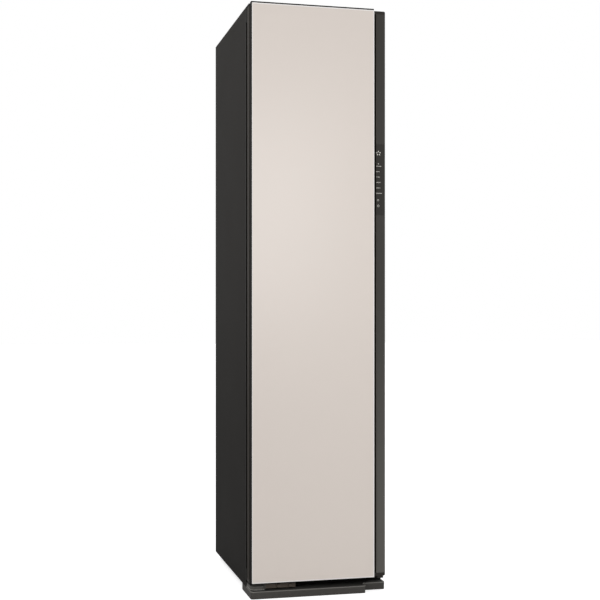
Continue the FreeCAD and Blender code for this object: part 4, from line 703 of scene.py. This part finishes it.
def pan_screw(mesh, place, axis, radius):
    """A domed head on a face, with a cross sunk into its top."""
    already = len(mesh.verts)
    rim = turned(mesh, [(r * radius, h * radius) for r, h in HEAD_DOME], count=16)[-1]
    top = HEAD_DOME[-1][1] * radius
    corners = plus_outline(CROSS_REACH * radius, CROSS_HALF_WIDTH * radius)
    mouth = [mesh.verts.new((*corner, top)) for corner in corners]
    floor = [mesh.verts.new((*corner * CROSS_TAPER, top - CROSS_DEPTH * radius))
             for corner in corners]
    join_rings(mesh, mouth, floor)
    mesh.faces.new(floor)
    bmesh.ops.triangle_fill(mesh, use_beauty=True,
                            edges=ring_edges(mesh, rim) + ring_edges(mesh, mouth))
    put(mesh, already, place, axis)


print("a pan head has a cross of", len(plus_outline(1, 0.5)), "corners")

# %% [markdown]
# ## Where the screws sit
# The rear panel is screwed down both sides and along its top, and the front frame down its two
# uprights. Rows worked out from the panels' boxes keep their distance from the edges at any size.
# Screws could be linked copies, but as one mesh a whole set is handed over in one go.

# %% Screws of the rear panel
rear_low, rear_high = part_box("rear_panel")
field_height = 3 * MM  # the pressed fields stand this far out of the sheet
rear_face = rear_high.y - field_height
screw_edge = 7 * MM
top_spread = 90 * MM  # from the middle screw of the top row to its neighbours
rear_screw_radius = 3.4 * MM
side_count, top_count = 7, 3
side_rows = spaced(rear_low.z + screw_edge, rear_high.z - screw_edge, side_count)

mesh = bmesh.new()
for x in (rear_low.x + screw_edge, rear_high.x - screw_edge):
    for z in side_rows:
        pan_screw(mesh, (x, rear_face, z), BACKWARD, rear_screw_radius)
for x in spaced(-top_spread, top_spread, top_count):
    pan_screw(mesh, (x, rear_face, side_rows[-1]), BACKWARD, rear_screw_radius)
screw_zinc = plated("screw_zinc", srgb(168, 169, 170), 1.5)
add_piece("rear_panel_screws", mesh, "cabinet", screw_zinc)
print(2 * side_count + top_count, "screws behind")

# %% Screws of the front frame
frame_low, frame_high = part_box("front_frame")
frame_screw_radius = 3.2 * MM
frame_screw_shares = (0.06, 0.32, 0.62, 0.9)  # of the frame's height

mesh = bmesh.new()
for x in (frame_low.x + screw_edge, frame_high.x - screw_edge):
    for share in frame_screw_shares:
        z = frame_low.z + share * (frame_high.z - frame_low.z)
        pan_screw(mesh, (x, frame_low.y, z), FORWARD, frame_screw_radius)
screw_black = finish("blackened_screw", srgb(44, 43, 42), 0.36, grain=0.5, depth=0.01, drift=0.05,
                     Metallic=0.6)
add_piece("front_frame_screws", mesh, "cabinet", screw_black)
print(2 * len(frame_screw_shares), "screws in the frame")

# %% [markdown]
# ## Marks in the touch window
# The window shows a ring of small lamps, six rows of dashes for the programs, a small square, and
# a ring with a stroke for the switch, all of them plain shapes without words. A printed mark is a
# few hundredths of a millimetre thick, and flat faces laid that far in front of the window show it
# crisply from any distance, where a painted image would blur.

# %% Printing on the window
window_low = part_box("control_window")[0]
ink_lift = 0.06 * MM
print_left = window_low.x - 1.2 * MM  # the marks are measured across from here
LINE = 0.9  # thickness of the square's lines


def ink(mesh, corners):
    """One flat printed shape, its corners across and up in millimetres from the window's foot."""
    mesh.faces.new([mesh.verts.new((print_left + u * MM, window_low.y - ink_lift,
                                    window_low.z + v * MM)) for u, v in corners])


def diamond(mesh, u, v, size):
    ink(mesh, [(u - size, v), (u, v - size), (u + size, v), (u, v + size)])


def stroke(mesh, u, v, length, height):
    ink(mesh, [(u, v), (u + length, v), (u + length, v + height), (u, v + height)])


def square_mark(mesh, u, v, length, height):
    """Four strokes round a rectangle."""
    for far in (0, 1):
        stroke(mesh, u, v + far * (height - LINE), length, LINE)
        stroke(mesh, u + far * (length - LINE), v + LINE, LINE, height - 2 * LINE)


def ring_mark(mesh, u, v, radius, width, gap, steps=16):
    """A ring with a gap of so many degrees at its top."""
    angles = [math.radians(turn) for turn in spaced(90 + gap / 2, 450 - gap / 2, steps + 1)]
    inner = radius - width
    for a, b in zip(angles, angles[1:]):
        ink(mesh, [(u + r * math.cos(t), v + r * math.sin(t))
                   for r, t in ((radius, a), (radius, b), (inner, b), (inner, a))])


print("ink lies", ink_lift, "m before the window")

# %% Lamps, dashes and switch mark
lamps_middle, lamps_radius, lamp_count, lamp_size = (8.6, 198), 5.6, 5, 2.4
lone_lamp, lone_size = (8.5, 164), 1.8
row_left, row_foot, row_pitch = 2, 69, 17.3
row_lengths = (18.5, 13.5, 14, 12, 11, 17)
dash_pitch, dash_share, dash_height = 2.6, 0.68, 2.0
square_place, square_size = (5.0, 45.5), (5, 5.1)
switch_middle, switch_radius, switch_line, switch_gap = (8.0, 30), 3.9, 1.0, 70
stroke_rise, stroke_height = 0.6, 4.0  # of the switch mark's stroke

mesh = bmesh.new()
for i in range(lamp_count):
    turn = math.pi / 2 + 2 * math.pi * i / lamp_count
    diamond(mesh, lamps_middle[0] + lamps_radius * math.cos(turn),
            lamps_middle[1] + lamps_radius * math.sin(turn), lamp_size)
diamond(mesh, *lone_lamp, lone_size)
for row, length in enumerate(row_lengths):
    dashes = int(length / dash_pitch)
    for i in range(dashes):
        stroke(mesh, row_left + i * length / dashes, row_foot + row * row_pitch,
               dash_share * length / dashes, dash_height)
square_mark(mesh, *square_place, *square_size)
ring_mark(mesh, *switch_middle, switch_radius, switch_line, switch_gap)
stroke(mesh, switch_middle[0] - switch_line / 2, switch_middle[1] + stroke_rise, switch_line,
       stroke_height)
print(len(mesh.faces), "printed shapes")
lit_ink = finish("lit_ink", srgb(222, 219, 211), 0.5, grain=0.3, depth=0.002, drift=0.03)
add_piece("window_marks", mesh, "door", lit_ink)

# %% [markdown]
# ## Hinge bolts
# Two hexagon bolts with washers hold the bar of the lower hinge. A primitive with six sides could
# stand for a bolt, but a turned form with six corners gets its chamfer from the same profile.

# %% Hexagon bolts of the lower hinge
washer = [(6.5, 0), (6.5, 0.8), (6.0, 1.2), (0.1, 1.2)]
hexagon = [(5.0, 1.2), (5.0, 4.2), (4.4, 4.9), (0.1, 4.9)]
bar_front = hinge_low.y + 10 * MM  # the bar lies behind the front of the arm
bolt_height = hinge_low.z + 12.25 * MM
bolt_shares = (0.62, 0.88)  # of the hinge's width

mesh = bmesh.new()
for share in bolt_shares:
    bolt_place = (hinge_low.x + share * (hinge_high.x - hinge_low.x), bar_front, bolt_height)
    turned_at(mesh, washer, bolt_place, FORWARD, count=24)
    turned_at(mesh, hexagon, bolt_place, FORWARD, count=6)
add_piece("lower_hinge_bolts", mesh, "cabinet", slot_finish["hinge_steel"])
print("bolts at", round(bolt_height, 4), "m")

# %% [markdown]
# ## Plugs of the chamber walls
# Screws in the chamber walls would rust in steam, so domed plugs close their holes. Half a sphere
# would look like a rivet, and a profile of five points keeps them flat.

# %% Domed plugs
plug_dome = [(6.0, 0.0), (5.8, 0.5), (4.6, 1.1), (2.6, 1.4), (0.1, 1.5)]
wall_thickness = 3 * MM
plug_inset = 50 * MM  # from the walls' front and rear ends
plug_shares = (0.05, 0.5, 0.95)  # of the walls' height

mesh = bmesh.new()
for name, way in (("chamber_left", 1), ("chamber_right", -1)):
    low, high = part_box(name)
    wall_face = (low.x if way > 0 else high.x) + way * wall_thickness
    for y in (low.y + plug_inset, high.y - plug_inset):
        for share in plug_shares:
            place = (wall_face, y, low.z + share * (high.z - low.z))
            turned_at(mesh, plug_dome, place, (way, 0, 0))
add_piece("chamber_plugs", mesh, "cabinet", slot_finish["inner_plastic"])
print(4 * len(plug_shares), "plugs")

# %% [markdown]
# ## Door switch
# A sprung pin at the top of the frame feels whether the door is shut. Collar and pin could be one
# profile, but they are turned apart, because the pin slides in the collar with a gap round it.

# %% Collar and pin
switch_collar = [(7.5, 0), (7.5, 1.2), (6.6, 1.8), (4.2, 1.8)]
switch_pin = [(4.0, 0), (4.0, 8.6), (3.4, 10.2), (2.0, 11.2), (0.1, 11.5)]
switch_place = (frame_high.x - 75 * MM, frame_low.y, frame_high.z - 30 * MM)

mesh = bmesh.new()
for profile in (switch_collar, switch_pin):
    turned_at(mesh, profile, switch_place, FORWARD, count=28)
add_piece("door_switch", mesh, "cabinet", slot_finish["black_plastic"])
print("switch at", [round(value, 3) for value in switch_place])

# %% [markdown]
# ## Feet
# Each foot's stem has a coarse thread, and its pad has a ribbed rubber ring that keeps the cabinet
# from creeping on tiles. The thread is a ridge wound up the stem: a triangle swept round and up by
# a loop. A Screw modifier would wind it as well, but can't taper the ends of the ridge away.

# %% A thread
stem_radius = 4.98 * MM  # a hair inside the stem, so that the ridge grows out of it
thread_foot = 14.2 * MM
thread_ridge, thread_pitch = 0.5 * MM, 1.5 * MM
thread_turns = 2


def thread(mesh, place, radius, ridge, pitch, turns, steps=18):
    """A ridge wound up a stem that grows out of the stem and sinks back into it."""
    rings = []
    last = turns * steps
    for i in range(last + 1):
        angle, height = 2 * math.pi * i / steps, pitch * i / steps
        swell = ridge * min(1, 2 * i / steps, 2 * (last - i) / steps)
        ridge_section = ((radius, -pitch / 3), (radius + swell, 0), (radius, pitch / 3))
        rings.append([mesh.verts.new((place[0] + r * math.cos(angle),
                                      place[1] + r * math.sin(angle), place[2] + height + h))
                      for r, h in ridge_section])
    for lower, upper in zip(rings, rings[1:]):
        join_rings(mesh, lower, upper)


print("thread rises", thread_turns * thread_pitch, "m")

# %% Threads and rubber rings on the four feet
ring_foot, ring_top, ring_tuck = 0.05, 4.2, 1.0  # the ring's ends tuck under the pad's edge
rib_count, rib_foot, rib_pitch, rib_depth = 8, 0.4, 0.5, 0.2
rubber = finish("soft_rubber", srgb(34, 34, 34), 0.66, grain=0.5, drift=0.05, gloss=0.2)

for name in ("front_left", "rear_left", "front_right", "rear_right"):
    low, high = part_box("foot_" + name)
    x, y = (low.x + high.x) / 2, (low.y + high.y) / 2
    pad = (high.x - low.x) / 2 / MM
    mesh = bmesh.new()
    thread(mesh, (x, y, thread_foot), stem_radius, thread_ridge, thread_pitch, thread_turns)
    add_piece("foot_thread_" + name, mesh, "foot_" + name, screw_zinc)
    mesh = bmesh.new()
    ribs = [(pad + rib_depth * (i % 2), rib_foot + rib_pitch * i) for i in range(rib_count)]
    ring = [(pad - ring_tuck, ring_foot), *ribs, (pad - ring_tuck, ring_top)]
    turned_at(mesh, ring, (x, y, 0), UPWARD, count=40)
    add_piece("foot_ring_" + name, mesh, "foot_" + name, rubber)
print("four feet, pads of radius", round(pad, 2), "mm")

# %% [markdown]
# ## Grips on the hangers
# Thin rubber grips along the shoulders of each hanger keep a jacket from sliding off. They follow a
# surface that curves two ways. Instead of repeating its formula, a ray is shot down onto the packed
# mesh from above each point of a grid, and the grid is laid where the rays land.

# %% Rubber laid on the shoulders
grip_start, grip_end = 0.3, 0.93  # shares of the way from the neck to the shoulder's tip
grip_width = 9 * MM
grip_rows, grip_columns = 61, 5
rib_height, rib_valley = 0.75, 0.35  # of a rib in millimetres, and the share left between two
skin = 0.05  # the grip's rim lies this far above the hanger
ray_start = 10 * MM  # above the hanger


def laid_strip(mesh, surface, x, start, end, top):
    """Ribbed strip dropped onto a surface, from one place along Y to another."""
    grid = []
    for row, y in enumerate(spaced(start, end, grip_rows)):
        rib = rib_valley if row % 2 else 1.0
        line = []
        for across in spaced(-0.5, 0.5, grip_columns):
            hit = surface.ray_cast((x + across * grip_width, y, top), (0, 0, -1))[0]
            on_rim = row in (0, grip_rows - 1) or abs(across) == 0.5
            rise = skin if on_rim else skin + rib_height * rib
            line.append(mesh.verts.new(hit + rise * MM * UP_VECTOR))
        grid.append(line)
    for before, after in zip(grid, grid[1:]):
        for i in range(grip_columns - 1):
            mesh.faces.new((before[i], before[i + 1], after[i + 1], after[i]))


for name in ("left", "middle", "right"):
    hanger = frame["nodes"]["air_hanger_" + name]
    surface = BVHTree.FromObject(hanger, bpy.context.evaluated_depsgraph_get())
    low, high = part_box("air_hanger_" + name)
    x, y = (low.x + high.x) / 2, (low.y + high.y) / 2
    reach = (high.y - low.y) / 2
    mesh = bmesh.new()
    for way in (-reach, reach):
        laid_strip(mesh, surface, x, y + way * grip_start, y + way * grip_end, high.z + ray_start)
    add_piece("hanger_grips_" + name, mesh, "air_hanger_" + name, rubber)
print("grips reach", round(grip_end * reach, 3), "m from each neck")

# %% [markdown]
# ## Sieve of the lint filter
# The basket's windows are covered by a fine woven sieve. Modelling each thread would take a hundred
# thousand faces, so the sieve is one folded sheet, and its material cuts the holes: where both the
# upright and the level threads leave a gap, Alpha is 0.


# %% Woven cloth
def woven(name, colour, pitch, share):
    """Fine cloth whose holes are see-through, its threads a pitch apart and a share of it wide."""
    material, shader, place = new_finish(name)
    x, y, z = axes_of(place)
    bands = []
    for axis in (x, y + z):
        threads = axis * (1 / (pitch * MM))
        bands.append(1 - (threads.math("FRACT", threads) > share))
    feed(shader,
         Base_Color=blend_colours(noise(place, 3.0), darker(colour, 0.8), colour),
         Roughness=0.45 + 0.08 * bands[0], Alpha=bands[0].highest(bands[1]))
    return material


thread_spacing, thread_share = 0.8, 0.32
sieve_cloth = woven("sieve_cloth", srgb(188, 190, 192), thread_spacing, thread_share)
print("threads", thread_spacing, "mm apart")

# %% The folded sieve in its basket
basket_length, basket_width = 230, 36
sieve_margin = 2.3  # the basket's wall and a little air
sieve_top, sieve_foot = 17, 2.4  # above the basket's underside
fold_rise, fold_run = 0.8, 1.0  # the sheet turns up over these
basket_low, basket_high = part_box("lint_filter")
basket_y = (basket_low.y + basket_high.y) / 2
half_length = (basket_length / 2 - sieve_margin) * MM
half_width = basket_width / 2 - sieve_margin

front_half = [(-half_width, sieve_top), (-half_width, sieve_foot + fold_rise),
              (fold_run - half_width, sieve_foot)]
section = front_half + [(-y, height) for y, height in reversed(front_half)]
mesh = bmesh.new()
ends = [[mesh.verts.new((x, basket_y + y * MM, basket_low.z + height * MM))
         for y, height in section] for x in (-half_length, half_length)]
for i in range(len(section) - 1):
    mesh.faces.new((ends[0][i], ends[0][i + 1], ends[1][i + 1], ends[1][i]))
sieve = add_piece("lint_sieve", mesh, "lint_filter", sieve_cloth)

# %% [markdown]
# ## Marks on the tanks
# Each tank has short raised lines beside its grip that show how full it is, and a drop, crossed on
# the tank that is emptied. They stand out by a third of a millimetre, as marks from a mould do. A
# bump would fake that only from the front, so they are real faces with thin sides.

# %% Raised shapes
mark_raise = 0.35 * MM
drop_pinch, drop_rise, drop_sharpness = 0.6, 0.9, 6  # how it is drawn to a point


def raised(mesh, outline, face_y):
    """A flat shape in front view, raised from a face and given its thin sides."""
    front = [mesh.verts.new((x, face_y - mark_raise, z)) for x, z in outline]
    back = [mesh.verts.new((x, face_y, z)) for x, z in outline]
    mesh.faces.new(front)
    join_rings(mesh, front, back)


def drop_outline(x, z, size, steps=20):
    """A drop: a circle drawn out to a point above."""
    outline = []
    for i in range(steps):
        turn = 2 * math.pi * i / steps + math.pi / 2
        point = max(0.0, math.sin(turn)) ** drop_sharpness
        outline.append((x + size * math.cos(turn) * (1 - drop_pinch * point),
                        z + size * math.sin(turn) + drop_rise * size * point))
    return outline


print("marks raised by", mark_raise, "m")

# %% Level lines and drops
level_lines, line_pitch, line_height = 5, 14 * MM, 1.2 * MM
long_line, short_line = 16 * MM, 10 * MM  # the first and the last are long
lines_inset, lines_rise = 40 * MM, 18 * MM  # from the tank's right side and foot
drop_inset, drop_height, drop_size = 34 * MM, 28 * MM, 8 * MM
slash_reach, slash_half_width = 12 * MM, 1 * MM

for name, crossed in (("water_tank", False), ("drain_tank", True)):
    low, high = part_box(name)
    bottom, left = low.z + lines_rise, high.x - lines_inset
    mesh = bmesh.new()
    for line in range(level_lines):
        z = bottom + line * line_pitch
        right = left + (long_line if line in (0, level_lines - 1) else short_line)
        top = z + line_height
        raised(mesh, [(left, z), (right, z), (right, top), (left, top)], low.y)
    x, z = low.x + drop_inset, bottom + drop_height
    raised(mesh, drop_outline(x, z, drop_size), low.y)
    if crossed:
        slash = [(x + way * slash_reach + side * slash_half_width, z + way * slash_reach)
                 for way, side in ((-1, -1), (-1, 1), (1, 1), (1, -1))]
        raised(mesh, slash, low.y - mark_raise)
    add_piece(name + "_marks", mesh, name, lit_ink)
print(level_lines, "level lines on each tank")

# %% [markdown]
# ## Seals of the tank caps
# The plug under each cap carries a soft red ring. It is half a circle turned about the plug. A
# torus would be as round, but half of it would lie unseen inside the plug.

# %% Silicone rings
plug_radius, seal_radius = 15.7, 0.8
mouth_setback = 70 * MM  # from the tank's front to the middle of its mouth
seal_rise = 2.4 * MM
seal_section = [(plug_radius + seal_radius * math.cos(math.radians(turn)),
                 seal_radius * math.sin(math.radians(turn))) for turn in range(-90, 91, 30)]
seal_silicone = finish("seal_silicone", srgb(176, 60, 48), 0.5, depth=0.01, drift=0.04)

for tank in ("water_tank", "drain_tank"):
    low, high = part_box(tank + "_cap")
    mouth = ((low.x + high.x) / 2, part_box(tank)[0].y + mouth_setback, low.z + seal_rise)
    mesh = bmesh.new()
    turned_at(mesh, seal_section, mouth, UPWARD, count=40)
    add_piece(tank + "_cap_seal", mesh, tank + "_cap", seal_silicone)
print("seals of radius", plug_radius + seal_radius, "mm")

# %% [markdown]
# ## Softer edges
# Drawn solids have knife edges, which no press or mould can make and which catch no light. A Bevel
# modifier rounds every edge a little without touching the stored mesh. It needs shared corners,
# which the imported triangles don't have, so a Weld comes first. In wide sheets, long thin triangles
# would make it tear, so there a Decimate modifier first merges the faces lying in one plane.

# %% Weld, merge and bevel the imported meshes
sheet_round = 0.5  # usual rounding of an edge, in millimetres
edge_round = {"door_glass": 0.15, "base_plinth": 0.8}
wide_sheets = ("left_side_panel", "right_side_panel", "rear_panel", "chamber_left", "chamber_right",
               "chamber_back", "base_frame", "blower_housing")

for name, node in frame["nodes"].items():
    weld = node.modifiers.new("weld", "WELD")
    weld.merge_threshold = 0.01 * MM
    if name in wide_sheets:
        merge = node.modifiers.new("plane_faces", "DECIMATE")
        merge.decimate_type = "DISSOLVE"
        merge.angle_limit = math.radians(0.5)
    bevel = node.modifiers.new("soft_edges", "BEVEL")
    bevel.width = edge_round.get(name, sheet_round) * MM
    bevel.segments = 2
    bevel.limit_method = "ANGLE"
    bevel.angle_limit = math.radians(50)
    bevel.harden_normals = True
print("edges softened on", len(frame["nodes"]), "nodes")

# %% [markdown]
# ## Floor and surround
# A pale floor and a white surround keep the attention on the cabinet. The camera, reflections and
# clear plastic see pure white, and for the rest the surround is a soft and weaker light. An image
# of a studio would light it as well, but would show up in the gloss of the glass.

# %% White surround
SURROUND_STRENGTH = 0.52
WHITE = (1, 1, 1, 1)


def studio_world(strength):
    """White for the camera and in reflections, and a plain even light for everything else."""
    world = bpy.data.worlds.new("studio")
    bpy.context.scene.world = world
    world.use_nodes = True
    tree = world.node_tree
    camera_ray, glossy_ray, clear_ray = [
        Field.of(tree, "LightPath", {}, {}, name)
        for name in ("Is Camera Ray", "Is Glossy Ray", "Is Transmission Ray")]
    seen = camera_ray.highest(glossy_ray).highest(clear_ray)
    feed(tree.nodes["Background"], Color=WHITE, Strength=seen * (1 - strength) + strength)


studio_world(SURROUND_STRENGTH)
print("the surround lights the cabinet with a strength of", SURROUND_STRENGTH)

# %% Pale floor
FLOOR_GREY = (0.8, 0.8, 0.8, 1)
FLOOR_LIFT = 0.7  # light of its own that only the camera sees
FLOOR_REACH = 30.0


def studio_floor(reach):
    """Pale floor that the camera sees a little brighter, so that only the shadow stands out."""
    mesh = bpy.data.meshes.new("floor")
    corners = [(-reach, -reach, 0), (reach, -reach, 0), (reach, reach, 0), (-reach, reach, 0)]
    mesh.from_pydata(corners, [], [(0, 1, 2, 3)])
    floor = bpy.data.objects.new("floor", mesh)
    bpy.context.scene.collection.objects.link(floor)
    material, shader, place = new_finish("floor")
    seen = Field.of(place.tree, "LightPath", {}, {}, "Is Camera Ray")
    feed(shader, Base_Color=FLOOR_GREY, Roughness=0.7, Emission_Color=WHITE,
         Emission_Strength=FLOOR_LIFT * seen)
    mesh.materials.append(material)


studio_floor(FLOOR_REACH)
print("floor reaches", FLOOR_REACH, "m each way")

# %% [markdown]
# ## Lamps
# The key lamp stands in front of the door and lays a gentle glow on the glass. A fill lamp high on
# the left keeps the dark side legible, and a weak one behind the right does the same for the back.
# A sun would need no placing, but it would light the whole pane evenly.

# %% Three soft lamps
def soft_lamp(name, place, aim, size, power):
    """A rectangular lamp at a place, turned to where it aims, its power in watts."""
    data = bpy.data.lights.new(name, "AREA")
    data.shape = "RECTANGLE"
    data.size, data.size_y = size
    data.energy = power
    lamp = bpy.data.objects.new(name, data)
    lamp.location = place
    lamp.rotation_euler = (Vector(aim) - Vector(place)).to_track_quat("-Z", "Y").to_euler()
    bpy.context.scene.collection.objects.link(lamp)


door_middle = (0.0, -0.3, 1.25)
soft_lamp("key", (0.2, -2.4, 1.4), door_middle, (0.7, 0.9), 15.0)
soft_lamp("fill", (-1.8, -0.5, 2.7), door_middle, (1.0, 1.0), 17)
soft_lamp("side", (2.2, 1.3, 1.6), (0.2, 0.1, 1.0), (1.0, 1.6), 12)
print(len(bpy.data.lights), "lamps")
